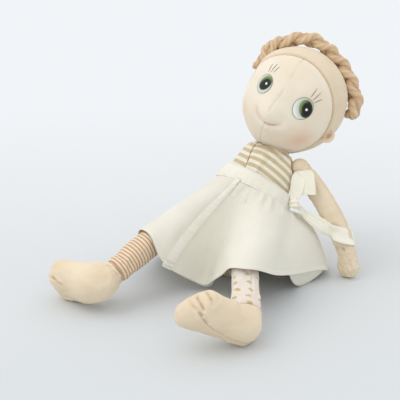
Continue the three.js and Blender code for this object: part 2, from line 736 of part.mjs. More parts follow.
// Cloth that would pass through a leg is lifted to lie over it
function overLegs(point, away) {
  const radius = legRadius + coverClear + away
  for (const line of hipLines) {
    for (let i = 0; i < line.length - 1; i++) {
      const [start, run] = [line[i], line[i + 1].clone().sub(line[i])]
      const span = Math.hypot(run.x, run.y)
      const part = ((point.x - start.x) * run.x + (point.y - start.y) * run.y) / span ** 2
      if (part < 0 || part > 1) continue
      const beside = Math.abs((point.x - start.x) * run.y - (point.y - start.y) * run.x) / span
      if (beside < radius) {
        const slope = Math.hypot(1, run.z / span)
        point.z = Math.max(point.z, start.z + part * run.z + slope * Math.sqrt(radius ** 2 - beside ** 2))
      }
    }
  }
  return point
}

const drapeOut = 0.65
const drapeDown = 0.4
function skirtPoint(u, v) {
  const turn = wrapStart - wrapTurn * u
  const away = lapRise * u
  const waistTurn = turn + wrapSkew
  const waistDistance = bandLine(waistTurn) - bandHeight / 2 - gap - cotton
  const waist = fromTorso(onTorso(waistTurn, waistDistance, bandClear + cotton + away))
  const hem = hemAt(turn)
  const outward = at(hem.x, hem.y, 0).normalize().multiplyScalar(away)
  hem.add(outward).setZ(hem.z + away)
  const shoulder = at(
    THREE.MathUtils.lerp(waist.x, hem.x, drapeOut),
    THREE.MathUtils.lerp(waist.y, hem.y, drapeOut),
    THREE.MathUtils.lerp(waist.z, hem.z, drapeDown),
  )
  return overLegs(new THREE.QuadraticBezierCurve3(waist, shoulder, hem).getPoint(v), away)
}
addPiece(doll, 'skirt', sheet(skirtPoint, ...skirtFacets, cotton), creamCotton)

// The facing strip lies on the skirt, along its free front edge
const facingClear = 1.2
const facingFacets = [2, 9]
const facingShare = 0.0075
function raised(surface, rise) {
  const step = slopeStep
  return (u, v) => {
    const near = surface(u, v)
    const along = surface(u - step, v).sub(near).negate()
    const down = surface(u, v < 1 ? v + step : v - step).sub(near).multiplyScalar(v < 1 ? 1 : -1)
    return near.addScaledVector(down.cross(along).normalize(), rise)
  }
}
const facingLift = raised(skirtPoint, -(cotton + facingClear))
const facingTopShare = 2.2
const facingStart = down => 1 - facingShare * THREE.MathUtils.lerp(facingTopShare, 1, down)
const facingPoint = (u, v) => facingLift(THREE.MathUtils.lerp(facingStart(v), 1, u), v)
addPiece(doll, 'skirt_facing', sheet(facingPoint, ...facingFacets, cotton), creamCotton)

// Ribbon: a knot at the left of the waist, one tail stood up and folded over, one laid over the arm

const ribbonLength = 60
const ribbonWidth = 13
const ribbonThickness = 0.8
const knotHalf = { x: 5, y: 4, z: 5 }
const knotTurn = 90
const ribbonFacets = [2, 12]

const knotAway = bandClear + bandThickness + knotHalf.x + gap
const knotPoint = fromTorso(onTorso(knotTurn, bandLine(knotTurn) + knotHalf.z, knotAway))
const knot = new THREE.SphereGeometry(1, ...smallFacets)
knot.scale(knotHalf.x, knotHalf.y, knotHalf.z)
knot.translate(knotPoint.x, knotPoint.y, knotPoint.z)
addPiece(doll, 'ribbon_knot', toSolid(knot), creamCotton)

// A flat ribbon along a line of points, its width turning from one direction to another
function ribbon(points, wideStart, wideEnd) {
  const line = tube(points)
  return sheet((u, v) => {
    const share = THREE.MathUtils.clamp(v, 0, 1)
    const tangent = line.getTangentAt(share)
    const across = wideStart.clone().lerp(wideEnd, share)
    across.addScaledVector(tangent, -across.dot(tangent)).normalize()
    return line.getPointAt(share).addScaledVector(across, (u - 0.5) * ribbonWidth)
  }, ...ribbonFacets, ribbonThickness)
}

// The short tail stands up from the knot, folds over and hangs before the arm
const shortTailShares = [
  [0, 0.03, 0.1], [-0.01, 0.06, 0.21], [-0.01, 0.075, 0.31], [0.01, 0.083, 0.375],
  [0.058, 0.1, 0.383], [0.1, 0.117, 0.31], [0.117, 0.117, 0.19], [0.133, 0.117, 0.06],
]
const shortTail = shortTailShares.map(share => at(...share).multiplyScalar(ribbonLength).add(knotPoint))
const shortTailAcross = { start: at(0.3, 0.95, 0), end: at(0.87, 0.5, 0) }
addPiece(doll, 'ribbon_tail_short', ribbon(shortTail, shortTailAcross.start, shortTailAcross.end), creamCotton)

// The long tail leaves the knot and is laid round the forearm; places on the arm are by its radius
const longTailShares = [[0.097, 0.025, -0.05], [0.2, 0.09, -0.19]]
const roundArmShares = [
  [0.57, -0.75, -1.27, 0], [0.6, 0.37, -1.4, 0], [0.63, 1.27, -0.62, -0.12], [0.65, 1.47, 0.5, -0.37],
]
const armAt = share => armForm.line.getPointAt(share).applyMatrix4(arms.left.matrixWorld)
const longTail = [
  ...longTailShares.map(share => at(...share).multiplyScalar(ribbonLength).add(knotPoint)),
  ...roundArmShares.map(([down, ...share]) => at(...share).multiplyScalar(armRadius).add(armAt(down))),
]
const armRun = armAt(roundArmShares[0][0]).sub(armAt(roundArmShares[3][0])).normalize()
addPiece(doll, 'ribbon_tail_long', ribbon(longTail, armRun, armRun), creamCotton)

export default doll
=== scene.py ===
import math

import bpy
import numpy as np
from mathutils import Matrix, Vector


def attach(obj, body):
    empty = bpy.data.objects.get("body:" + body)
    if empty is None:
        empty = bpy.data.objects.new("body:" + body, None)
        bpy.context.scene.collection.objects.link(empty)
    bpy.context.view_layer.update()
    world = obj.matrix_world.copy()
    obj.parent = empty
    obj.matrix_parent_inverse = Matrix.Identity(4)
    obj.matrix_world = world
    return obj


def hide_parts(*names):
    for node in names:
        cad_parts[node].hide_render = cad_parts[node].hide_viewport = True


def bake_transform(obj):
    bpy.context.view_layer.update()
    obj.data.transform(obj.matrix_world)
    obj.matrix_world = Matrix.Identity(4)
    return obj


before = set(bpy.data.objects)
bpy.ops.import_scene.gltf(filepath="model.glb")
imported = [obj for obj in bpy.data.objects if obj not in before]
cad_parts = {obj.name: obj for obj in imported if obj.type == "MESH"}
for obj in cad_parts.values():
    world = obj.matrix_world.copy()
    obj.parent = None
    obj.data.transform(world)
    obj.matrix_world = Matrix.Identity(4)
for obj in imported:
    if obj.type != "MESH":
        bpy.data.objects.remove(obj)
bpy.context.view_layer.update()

# The camera stands where the photograph was taken from: 30 degrees round to the doll's left and
# 20 degrees above it, a little under a metre away. The doll sits at the origin.
EYE = Vector((0.38504, -0.72795, 0.37040))
VIEW = Vector((-0.46985, 0.81380, -0.34202))
LENS_MM = 87.57
bpy.ops.object.camera_add(location=EYE, rotation=VIEW.to_track_quat("-Z", "Y").to_euler())
camera = bpy.context.object
camera.name = "camera"
camera.data.lens = LENS_MM
bpy.context.scene.camera = camera
bpy.context.scene.view_settings.view_transform = "Standard"


# The floor is one wide pale sheet, which fills the view, under a soft sun at the upper left and an even pale
# sky.
# Its colour is painted lighter towards its far side: painted light, standing in for the light's fall-off.
def dye(red, green, blue):
    """A colour as it is seen, 0 to 255, as the shader's own numbers"""
    def linear(value):
        share = value / 255
        return share / 12.92 if share <= 0.04045 else ((share + 0.055) / 1.055) ** 2.4
    return linear(red), linear(green), linear(blue), 1.0


class Wire:
    """A value on its way through a material: sums on it add Math nodes"""

    def __init__(self, look, socket):
        self.look, self.socket = look, socket

    def maths(self, operation, *others):
        return self.look.sum(operation, self, *others)

    def __add__(self, other):
        return self.maths("ADD", other)

    def __mul__(self, other):
        return self.maths("MULTIPLY", other)

    def __sub__(self, other):
        return self.maths("SUBTRACT", other)

    def __rsub__(self, other):
        return self.look.sum("SUBTRACT", other, self)

    def __truediv__(self, other):
        return self.maths("DIVIDE", other)

    def __pow__(self, other):
        return self.maths("POWER", other)

    __radd__, __rmul__ = __add__, __mul__


class Look:
    """A material, made one node at a time"""

    def __init__(self, name, roughness=0.95, sheen=0.0):
        self.material = bpy.data.materials.new(name)
        self.material.use_nodes = True
        self.tree = self.material.node_tree
        self.shader = self.tree.nodes["Principled BSDF"]
        self.shader.inputs["Roughness"].default_value = roughness
        self.shader.inputs["Specular IOR Level"].default_value = 0.2
        self.shader.inputs["Sheen Weight"].default_value = sheen
        self.shader.inputs["Sheen Roughness"].default_value = 0.6

    def node(self, kind, settings=None, values=None, output=0):
        made = self.tree.nodes.new(kind)
        for name, setting in (settings or {}).items():
            setattr(made, name, setting)
        for name, value in (values or {}).items():
            found = made.inputs[name] if isinstance(name, int) else next(
                s for s in made.inputs if name in (s.name, s.identifier) and s.enabled)
            if isinstance(value, Wire):
                self.tree.links.new(value.socket, found)
            else:
                found.default_value = value
        outputs = [s for s in made.outputs if s.enabled]
        chosen = outputs[output] if isinstance(output, int) else made.outputs[output]
        return Wire(self, chosen)

    def sum(self, operation, *terms):
        return self.node("ShaderNodeMath", {"operation": operation}, dict(enumerate(terms)))

    def ease(self, value, low, high):
        return self.node("ShaderNodeMapRange", {"interpolation_type": "SMOOTHSTEP"},
                         {"Value": value, "From Min": low, "From Max": high})

    def mix(self, share, first, second):
        return self.node("ShaderNodeMix", {"data_type": "RGBA"},
                         {"Factor_Float": share, "A_Color": first, "B_Color": second})

    def noise(self, place, scale, detail=2.0, stretch=None):
        if stretch:
            place = self.node("ShaderNodeVectorMath", {"operation": "MULTIPLY"}, {0: place, 1: stretch})
        return self.node("ShaderNodeTexNoise", {}, {"Vector": place, "Scale": scale, "Detail": detail})

    def feed(self, socket, wire):
        self.tree.links.new(wire.socket, self.shader.inputs[socket])

    def bump(self, height, depth, strength=1.0):
        self.feed("Normal", self.node("ShaderNodeBump", {},
                                      {"Strength": strength, "Distance": depth, "Height": height}))

    def place(self):
        return self.node("ShaderNodeTexCoord", {}, {}, "Object")

    def marked(self, name):
        """What the mesh's corners are marked with under this name"""
        return self.node("ShaderNodeAttribute", {"attribute_name": name}, {}, "Fac")

    def cloth_place(self):
        """How far across and down the cloth, in metres"""
        apart = self.node("ShaderNodeTexCoord", {}, {}, "UV")
        split = self.tree.nodes.new("ShaderNodeSeparateXYZ")
        self.tree.links.new(apart.socket, split.inputs[0])
        return Wire(self, split.outputs[0]), Wire(self, split.outputs[1]), apart


def finish_floor():
    look = Look("floor_paper")
    place = look.place()
    away = look.node("ShaderNodeVectorMath", {"operation": "DOT_PRODUCT"},
                     {0: place, 1: (-0.5, 0.866, 0)}, "Value")
    # Painted light: the floor's colour grows lighter away from the camera, standing in for the light's
    # fall-off.
    far = look.ease(away + look.noise(place, 3.0) * 0.15, -0.3, 0.8)
    look.feed("Base Color", look.mix(far, dye(209, 213, 215), dye(225, 228, 231)))
    return look.material


FLOOR_SIZE = 14
bpy.ops.mesh.primitive_plane_add(size=FLOOR_SIZE)
floor = bpy.context.object
floor.name = "floor"
floor.data.materials.append(finish_floor())

bpy.ops.object.light_add(type="SUN", location=(-1, -1.4, 2))
sun = bpy.context.object
sun.name = "soft_sun"
sun.data.energy, sun.data.angle, sun.data.color = 0.6, math.radians(50), (1.0, 0.985, 0.955)
sun.rotation_euler = Vector((0.9, 0.75, -1.5)).to_track_quat("-Z", "Y").to_euler()
sky = bpy.data.worlds.new("sky")
sky.use_nodes = True
sky.node_tree.nodes["Background"].inputs["Color"].default_value = (0.985, 0.992, 1.0, 1)
sky.node_tree.nodes["Background"].inputs["Strength"].default_value = 1.03
bpy.context.scene.world = sky


# The head is a ball of stuffing in jersey: two face panels sewn down the middle of the face, and two
# tan scalp panels behind the hairline seam. Thread pulled through the stuffing makes the snout and smile.
MM = 0.001
MERGE, TINY = 1e-6, 1e-9
HEAD_CENTRE = np.array((26.57, 66.57, 153.07)) * MM
HEAD_AXES = np.array(((0.9109, 0.0302, -0.4115), (-0.2391, 0.8515, -0.4667), (0.3363, 0.5235, 0.7829)))
HEAD_RADIUS = 47.5
HAIRLINE_TILT, HAIRLINE_SHARE = 29.5, 0.387
SEAM_LINE = [(-6, 38), (-5.6, 32), (-2.5, 11.7), (-1.4, -11.6), (-3.2, -23.1), (-3, -31)]
CHIN_LINE = [(-2.3, -45.8), (-3.2, -49.4), (-4.6, -56.7), (-8, -68), (-14, -80)]
SMILE_LINE = [(-21.5, -35.5), (-19.5, -39), (-16.2, -41.8), (-8.6, -44.6), (-2.3, -45.8), (7.1, -43.6),
              (15.3, -39)]
SMILE_END = [(15.3, -39), (17.6, -35.5), (17.2, -31.5)]
EYES = {"left": (26.6, -11.7), "right": (-25.6, -10.4)}
# Where the face stands out, or falls in: by how many mm, degrees to the doll's left and up, and spread
FACE_HILLS = ((4.5, -4, -38, 17), (1.5, 40, -36, 20), (1.5, -40, -36, 20), (1.7, -4, -33, 9),
              (1.0, 4, -53, 9), (4.3, 0, -89, 34), (-4.0, -71, -8, 20), (1.5, 25, -44, 10),
              (1.2, -29, -46, 9))


def facing(side, up):
    """A direction in the head's frame: degrees round to the doll's left and up from the front"""
    side, up = np.radians(side), np.radians(up)
    level = np.cos(up)
    return np.stack([np.sin(side) * level, -np.cos(side) * level, np.sin(up) * np.ones_like(side)], -1)


def side_and_up(directions):
    return (np.degrees(np.arctan2(directions[:, 0], -directions[:, 1])),
            np.degrees(np.arcsin(np.clip(directions[:, 2], -1, 1))))


def bell(away, wide):
    """1 where away is 0, falling to 0 within about twice the width"""
    return np.exp(-((away / wide) ** 2))


def hill(directions, side, up, spread):
    """A bell round a place on the face, in degrees"""
    return bell(np.degrees(np.arccos(np.clip(directions @ facing(side, up), -1, 1))), spread)


def off_line(directions, line):
    """Degrees from each direction to a line drawn on the face, and how far along it, 0 to 1"""
    nearest = np.full(len(directions), 1e9)
    share = np.zeros(len(directions))
    points = [facing(*point) for point in line]
    for i, (start, end) in enumerate(zip(points, points[1:])):
        run = end - start
        part = np.clip((directions - start) @ run / (run @ run), 0, 1)
        away = np.degrees(np.linalg.norm(directions - start - part[:, None] * run, axis=1))
        closer = away < nearest
        nearest[closer] = away[closer]
        share[closer] = (i + part[closer]) / (len(points) - 1)
    return nearest, share


def eased(share):
    """A share from 0 to 1 that starts and ends gently"""
    return share ** 2 * (3 - 2 * share)


def unit(ways):
    return ways / np.linalg.norm(ways, axis=-1, keepdims=True)


def ripple(points, scale, seed):
    """Smooth unevenness between -1 and 1, the same each time"""
    angle = np.random.default_rng(seed).uniform(0, 2 * np.pi, (6, 4))
    total = np.zeros(len(points))
    for first, second, phase, other in angle:
        way = np.array((np.cos(first) * np.sin(second), np.sin(first) * np.sin(second), np.cos(second)))
        bent = np.sin(points[:, 0] * np.pi / scale + other)
        total += np.sin(points @ way * 2 * np.pi / scale + phase + bent)
    return total / 6


def hairline_distance(directions):
    """Millimetres in front of the hairline's plane"""
    return HEAD_RADIUS * (directions @ facing(0, -HAIRLINE_TILT) - HAIRLINE_SHARE)


def head_reach(directions):
    """How far the stuffed face stands from the head's centre, in millimetres"""
    reach = HEAD_RADIUS + sum(high * hill(directions, *place) for high, *place in FACE_HILLS)
    for side, up in EYES.values():
        reach += 0.9 * hill(directions, side, up + 17, 9) - 0.9 * hill(directions, side, up - 1, 12)
    smile, along = off_line(directions, SMILE_LINE)
    reach -= 1.9 * bell(smile, 3.0) * (0.35 + 0.65 * np.sin(np.pi * np.clip(along, 0.05, 1)))
    reach -= 0.6 * bell(off_line(directions, SMILE_END)[0], 3.6)
    return reach


def head_sewn(directions):
    """The same with its seams drawn in and its stuffing uneven"""
    reach = head_reach(directions) + 0.35 * ripple(directions * HEAD_RADIUS, 26, 3)
    for line, depth in ((SEAM_LINE, 0.4), (CHIN_LINE, 0.3)):
        away, along = off_line(directions, line)
        pucker = 1 + 0.35 * np.sin(along * 90)
        reach += 0.15 * bell(away - 3.2, 1.8) - depth * pucker * bell(away, 1.15)
    away = hairline_distance(directions)
    side = side_and_up(directions)[0]
    pucker = 1 + 0.3 * np.sin(side * 1.5) * np.sin(side * 0.37)
    reach += 0.45 * bell(np.abs(away) - 3.5, 2.2) - 1.3 * pucker * bell(away, 1.0)
    return reach


def select_only(*pieces):
    bpy.ops.object.select_all(action="DESELECT")
    for piece in pieces:
        piece.select_set(True)
    bpy.context.view_layer.objects.active = pieces[0]


def corners(piece):
    found = np.empty(len(piece.data.vertices) * 3)
    piece.data.vertices.foreach_get("co", found)
    return found.reshape(-1, 3)


def reshape(piece, places):
    piece.data.vertices.foreach_set("co", np.ascontiguousarray(places, dtype=np.float32).ravel())
    piece.data.update()


def mark(piece, name, values):
    """Keeps one number for each corner, or the same one for all, for the material to read"""
    layer = piece.data.attributes.get(name) or piece.data.attributes.new(name, "FLOAT", "POINT")
    values = np.broadcast_to(values, len(piece.data.vertices))
    layer.data.foreach_set("value", np.ascontiguousarray(values, dtype=np.float32))


def map_cloth(piece, across, down, full_turn=None):
    """Gives the cloth its flat coordinates, in metres; across may start again after a full turn"""
    mesh = piece.data
    layer = mesh.uv_layers.get("cloth") or mesh.uv_layers.new(name="cloth")
    layer.active = layer.active_render = True
    loops = np.empty(len(mesh.loops), dtype=np.int64)
    mesh.loops.foreach_get("vertex_index", loops)
    u, v = across[loops].copy(), down[loops]
    if full_turn:
        starts = np.empty(len(mesh.polygons), dtype=np.int64)
        mesh.polygons.foreach_get("loop_start", starts)
        sizes = np.empty(len(mesh.polygons), dtype=np.int64)
        mesh.polygons.foreach_get("loop_total", sizes)
        first = np.repeat(u[starts], sizes)
        u -= np.round((u - first) / full_turn) * full_turn
    layer.data.foreach_set("uv", np.stack([u, v], -1).astype(np.float32).ravel())


def smooth(piece):
    select_only(piece)
    bpy.ops.object.shade_smooth()


def apply_all(piece):
    select_only(piece)
    for modifier in list(piece.modifiers):
        bpy.ops.object.modifier_apply(modifier=modifier.name)


def finer(piece):
    """Rounds the piece's facets by one level of subdivision"""
    rounding = piece.modifiers.new("finer", "SUBSURF")
    rounding.levels = rounding.render_levels = 1
    apply_all(piece)


def on_mesh(piece, step, **settings):
    """One edit step on the whole of the piece's mesh"""
    select_only(piece)
    bpy.ops.object.mode_set(mode="EDIT")
    bpy.ops.mesh.select_all(action="SELECT")
    step(**settings)
    bpy.ops.object.mode_set(mode="OBJECT")


def cut_away(piece, point, normal):
    """Cuts off what lies behind a plane and closes the cut"""
    on_mesh(piece, bpy.ops.mesh.bisect, plane_co=point, plane_no=normal, use_fill=True, clear_inner=True)


def copy_of(piece, name):
    copied = piece.copy()
    copied.data = piece.data.copy()
    copied.name = name
    bpy.context.collection.objects.link(copied)
    return copied


def ball(name, segments, rings, radius=1):
    bpy.ops.mesh.primitive_uv_sphere_add(segments=segments, ring_count=rings, radius=radius)
    bpy.context.object.name = name
    return bpy.context.object


def dress(piece, look, body, slot, *nodes):
    """The piece's material, the body that it moves with and the solids that it stands for"""
    piece.data.materials.clear()
    piece.data.materials.append(look.material)
    if body:
        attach(piece, body)
    if nodes:
        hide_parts(*nodes)


FLUFF_FINE, STITCH_WIDE, STITCH_TALL = 900.0, 0.0011, 0.0008


def knit(across, down, column=STITCH_WIDE, row=STITCH_TALL):
    """The height of a jersey's fine columns of stitches"""
    wale = (across * (math.pi / column)).maths("SINE").maths("ABSOLUTE")
    slant = ((across / column).maths("FRACT") - 0.5).maths("ABSOLUTE")
    loop = ((down / row + slant) * (2 * math.pi)).maths("SINE")
    return wale * 0.7 + loop * 0.3


def finish_jersey(name, colour, shade, marks=()):
    """Matte knitted cloth, a little uneven in colour; marks are (attribute, colour, strength), such as the
    blush or the painted shade in creases
    """
    look = Look(name, roughness=0.93, sheen=0.15)
    across, down, _ = look.cloth_place()
    place = look.place()
    cloud = look.ease(look.noise(place, 38.0, 3.0), 0.35, 0.7)
    fluff = look.noise(place, FLUFF_FINE)
    tint = look.mix(cloud * 0.55 + fluff * 0.25, colour, shade)
    for attribute, mark_colour, strength in marks:
        tint = look.mix(look.marked(attribute) * strength, tint, mark_colour)
    look.feed("Base Color", tint)
    look.feed("Roughness", fluff * 0.1 + 0.86)
    look.bump(knit(across, down) * 0.6 + fluff * 0.9, 0.00022, 0.6)
    return look


whole_head = ball("whole_head", 220, 150)
ways = unit(corners(whole_head))
sides, ups = side_and_up(ways)
map_cloth(whole_head, np.radians(sides) * HEAD_RADIUS * MM, np.radians(ups) * HEAD_RADIUS * MM,
          2 * math.pi * HEAD_RADIUS * MM)
mark(whole_head, "blush", 0.8 * hill(ways, 54, -41, 13) + 0.3 * hill(ways, -57, -44, 12))
# Painted shade: the hairline seam, the face and chin seams and the smile's crease are marked to be painted
# darker, as shade in their grooves.
seam_shade = 0.7 * bell(hairline_distance(ways), 0.9)
for line, wide, dark in ((SEAM_LINE, 0.9, 0.3), (CHIN_LINE, 1.0, 0.18), (SMILE_LINE, 1.6, 0.35)):
    seam_shade += dark * bell(off_line(ways, line)[0], wide)
mark(whole_head, "crease_shade", np.clip(seam_shade, 0, 1))
reshape(whole_head, HEAD_CENTRE + (ways * head_sewn(ways)[:, None] * MM) @ HEAD_AXES)
# The crease colours below are painted shade in the seams and the smile's crease; the blush is the cheeks' own
# colour.
face_skin = finish_jersey("face_jersey", dye(239, 229, 211), dye(231, 216, 193),
                          [("blush", dye(226, 164, 126), 0.62), ("crease_shade", dye(158, 118, 86), 0.55)])
scalp_skin = finish_jersey("scalp_jersey", dye(230, 214, 188), dye(217, 197, 167),
                           [("crease_shade", dye(150, 118, 84), 0.6)])


def head_panel(name, cuts, look, slot, *nodes):
    """A sewn panel of the head: the whole form cut by planes, each given by a point and a normal"""
    piece = copy_of(whole_head, name)
    for point, normal in cuts:
        cut_away(piece, HEAD_CENTRE + (point * MM) @ HEAD_AXES, normal @ HEAD_AXES)
    smooth(piece)
    bpy.ops.object.shade_smooth_by_angle(angle=math.radians(50))
    dress(piece, look, "head", slot, *nodes)


hairline = facing(0, -HAIRLINE_TILT)
hair_point = hairline * HAIRLINE_SHARE * HEAD_RADIUS
for side, word in ((-1, "right"), (1, "left")):
    across_face = facing(-3 + 90 * side, 0)
    head_panel(f"face_panel_{word}", [(hair_point, hairline), (0 * hairline, across_face)], face_skin,
               "skin_jersey", f"face_{word}", *(["head_stuffing"] if side > 0 else []))
    head_panel(f"scalp_panel_{word}", [(hair_point, -hairline), (0 * hairline, side * np.array((1.0, 0, 0)))],
               scalp_skin, "tan_jersey", f"scalp_{word}")
bpy.data.objects.remove(whole_head)


# The mouth and the lashes are single stitches of thread laid on the jersey, the mouth in the smile's
# crease and three lashes fanned above each eye.
def on_face(side, up, lift):
    way = facing(side, up)
    return HEAD_CENTRE + (way * (head_sewn(way[None])[0] + lift) * MM) @ HEAD_AXES


def cords(name, lines, radius, rounding, full=None):
    """Round cords along lines of points; full is each point's share of the radius"""
    bpy.ops.curve.primitive_nurbs_path_add()
    curve = bpy.context.object
    curve.name = name
    curve.data.splines.clear()
    for line in lines:
        spline = curve.data.splines.new("POLY")
        spline.points.add(len(line) - 1)
        for point, place, share in zip(spline.points, line, full or [1] * len(line)):
            point.co, point.radius = (*place, 1), share
    curve.data.bevel_depth, curve.data.bevel_resolution, curve.data.use_fill_caps = radius, rounding, True
    select_only(curve)
    bpy.ops.object.convert(target="MESH")
    piece = bpy.context.object
    smooth(piece)
    map_cloth(piece, corners(piece)[:, 0], corners(piece)[:, 2])
    return piece


def thread(name, line, radius, lift, look, steps=10):
    """A round thread along a line on the face, thinner at its ends"""
    places = []
    for start, end in zip(line, line[1:]):
        places += [np.array(start) + (np.array(end) - start) * i / steps for i in range(steps)]
    places.append(np.array(line[-1], dtype=float))
    full = [0.45 + 0.55 * math.sin(math.pi * i / (len(places) - 1)) for i in range(len(places))]
    piece = cords(name, [[on_face(side, up, lift) for side, up in places]], radius * MM, 2, full)
    dress(piece, look, "head", "eye_thread")


def sew_dashes(name, host, dashes, radius, look, body, slot):
    """Small stitches on a piece's cloth: each dash is a list of points near its surface"""
    lines = [[] for _ in dashes]
    for line, dash in zip(lines, dashes):
        for i, place in enumerate(dash):
            _, on_cloth, normal, _ = host.closest_point_on_mesh(Vector(place))
            sink = radius * (0.9 if i in (0, len(dash) - 1) else -0.1)
            line.append(on_cloth - normal * sink)
    dress(cords(name, lines, radius, 1), look, body, slot)


def spans(line):
    """The length of each stretch of a line of points"""
    return np.linalg.norm(np.diff(line, axis=0), axis=1)


def gone_along(line):
    """How far along the line each of its points lies"""
    return np.concatenate([[0], np.cumsum(spans(line))])


def place_at(at, gone, line):
    """The places on a line at distances along it"""
    return np.stack([np.interp(at, gone, line[:, k]) for k in range(3)], -1)


def dashed(path, step, share, points=4):
    """Dashes along a path of points, each a share of the step long"""
    gone = gone_along(path)
    starts = np.arange(0, gone[-1] - step * share, step)
    return [place_at(np.linspace(start, start + step * share, points), gone, path) for start in starts]


def finish_thread(name, colour, shade):
    look = Look(name, roughness=0.7, sheen=0.2)
    twist = look.node("ShaderNodeTexWave", {"bands_direction": "DIAGONAL"},
                      {"Vector": look.place(), "Scale": 900.0, "Distortion": 1.0}, "Fac")
    look.feed("Base Color", look.mix(twist, colour, shade))
    look.bump(twist, 0.0001, 0.5)
    return look


lash_thread = finish_thread("lash_thread", dye(94, 86, 74), dye(128, 118, 102))
mouth_thread = finish_thread("mouth_thread", dye(172, 124, 94), dye(192, 148, 116))
LASHES = {
    "left": [((26.6, 2.6), (27.6, 14.3)), ((30.3, 1), (33.8, 13.1)), ((32.6, -1), (38.6, 8))],
    "right": [((-28.9, 2.8), (-31.2, 12.3)), ((-25.6, 3.3), (-25.9, 15)), ((-22.6, 4.4), (-20.8, 13.2))],
}
for word, lashes in LASHES.items():
    for count, lash in enumerate(lashes, 1):
        thread(f"lash_{word}_{count}", lash, 0.27, 0.12, lash_thread)
thread("mouth_stitch", [(-5.5, -45.4), (-2.3, -45.8), (7.1, -43.6), (13.2, -40.6)], 0.4, 0.0, mouth_thread)


# Each eye is a satin-stitched oval: a grey outline, white stitches, a dark green iris set towards the
# doll's left, a black middle and one white stitch for the light in it.
# Half an eye's width and height in mm, the iris as its middle, half sizes and lean, and the light's place
EYE_HALF = {"left": (9.3, 10.2), "right": (8.3, 9.0)}
IRIS = {"left": ((2.4, 1.2), (6.1, 8.1), 38), "right": ((0.8, 0.9), (5.9, 7.2), -29)}
GLINT = {"left": (3.3, 1.0), "right": (2.2, 0.8)}


def finish_eye(word):
    look = Look(f"eye_{word}_embroidery", roughness=0.55, sheen=0.1)
    across, down, flat = look.cloth_place()
    (mid_x, mid_z), (half_wide, half_tall), lean = IRIS[word]
    turn = math.radians(lean)
    rim = ((across / EYE_HALF[word][0]) ** 2 + (down / EYE_HALF[word][1]) ** 2) ** 0.5
    east, north = across - mid_x, down - mid_z
    short = east * math.cos(turn) + north * math.sin(turn)
    tall = north * math.cos(turn) - east * math.sin(turn)
    iris = ((short / half_wide) ** 2 + (tall / half_tall) ** 2) ** 0.5
    pupil = (((short - 0.7) / (0.78 * half_wide)) ** 2 + ((tall + 0.5) / (0.8 * half_tall)) ** 2) ** 0.5
    glint = (((across - GLINT[word][0]) / 1.15) ** 2 + ((down - GLINT[word][1]) / 1.15) ** 2) ** 0.5
    fibres = look.noise(flat, 1.6, 2.0, (0.5, 3.0, 1.0))
    # Painted shade: the white is painted greyer next to the iris, as shade beside its raised stitches.
    white = look.mix(look.ease(iris, 1.0, 1.7), dye(196, 202, 190), dye(242, 243, 236))
    white = look.mix(fibres * 0.4, white, dye(216, 219, 210))
    outline = look.ease(rim + fibres * 0.04, 0.91, 0.99)
    tint = look.mix(outline * 0.85, white, dye(132, 134, 122))
    fleck = look.ease(short * -0.35 + tall * 0.22 + fibres * 2.2, 0.9, 3.0)
    green = look.mix(fleck, dye(46, 62, 38), dye(122, 142, 84))
    tint = look.mix(1 - look.ease(iris, 0.9, 1.06), tint, green)
    tint = look.mix(1 - look.ease(pupil + fibres * 0.2, 0.8, 1.25), tint, dye(26, 30, 28))
    tint = look.mix(1 - look.ease(glint, 0.6, 1.25), tint, dye(250, 250, 248))
    look.feed("Base Color", tint)
    stitches = ((down * 5.2).maths("SINE") * 0.5 + 0.5) * 0.6 + fibres * 0.5
    look.bump(stitches + outline * 0.8, 0.00025, 0.7)
    return look


for word, (eye_side, eye_up) in EYES.items():
    eye = ball(f"embroidered_eye_{word}", 96, 48)
    oval = corners(eye)
    per_mm = math.degrees(1 / HEAD_RADIUS)
    across, down = oval[:, 0] * EYE_HALF[word][0], oval[:, 2] * EYE_HALF[word][1]
    way = facing(eye_side + across * per_mm, eye_up + down * per_mm)
    (mid_x, mid_z), halves, lean = IRIS[word]
    turn = math.radians(lean)
    east, north = across - mid_x, down - mid_z
    iris = np.hypot((east * math.cos(turn) + north * math.sin(turn)) / halves[0],
                    (north * math.cos(turn) - east * math.sin(turn)) / halves[1])
    domed = 0.35 * np.clip(1.05 - iris, 0, 0.4) / 0.4
    edge = 0.3 * bell(np.hypot(oval[:, 0], oval[:, 2]) - 0.94, 0.05)
    lift = np.where(oval[:, 1] < 0, 0.35 + (domed + edge) + 0.35 * -oval[:, 1], -0.5)
    map_cloth(eye, across, down)
    reshape(eye, HEAD_CENTRE + (way * (head_reach(way) + lift)[:, None] * MM) @ HEAD_AXES)
    on_mesh(eye, bpy.ops.mesh.normals_make_consistent, inside=False)
    smooth(eye)
    dress(eye, finish_eye(word), "head", "eye_thread", f"eye_{word}")


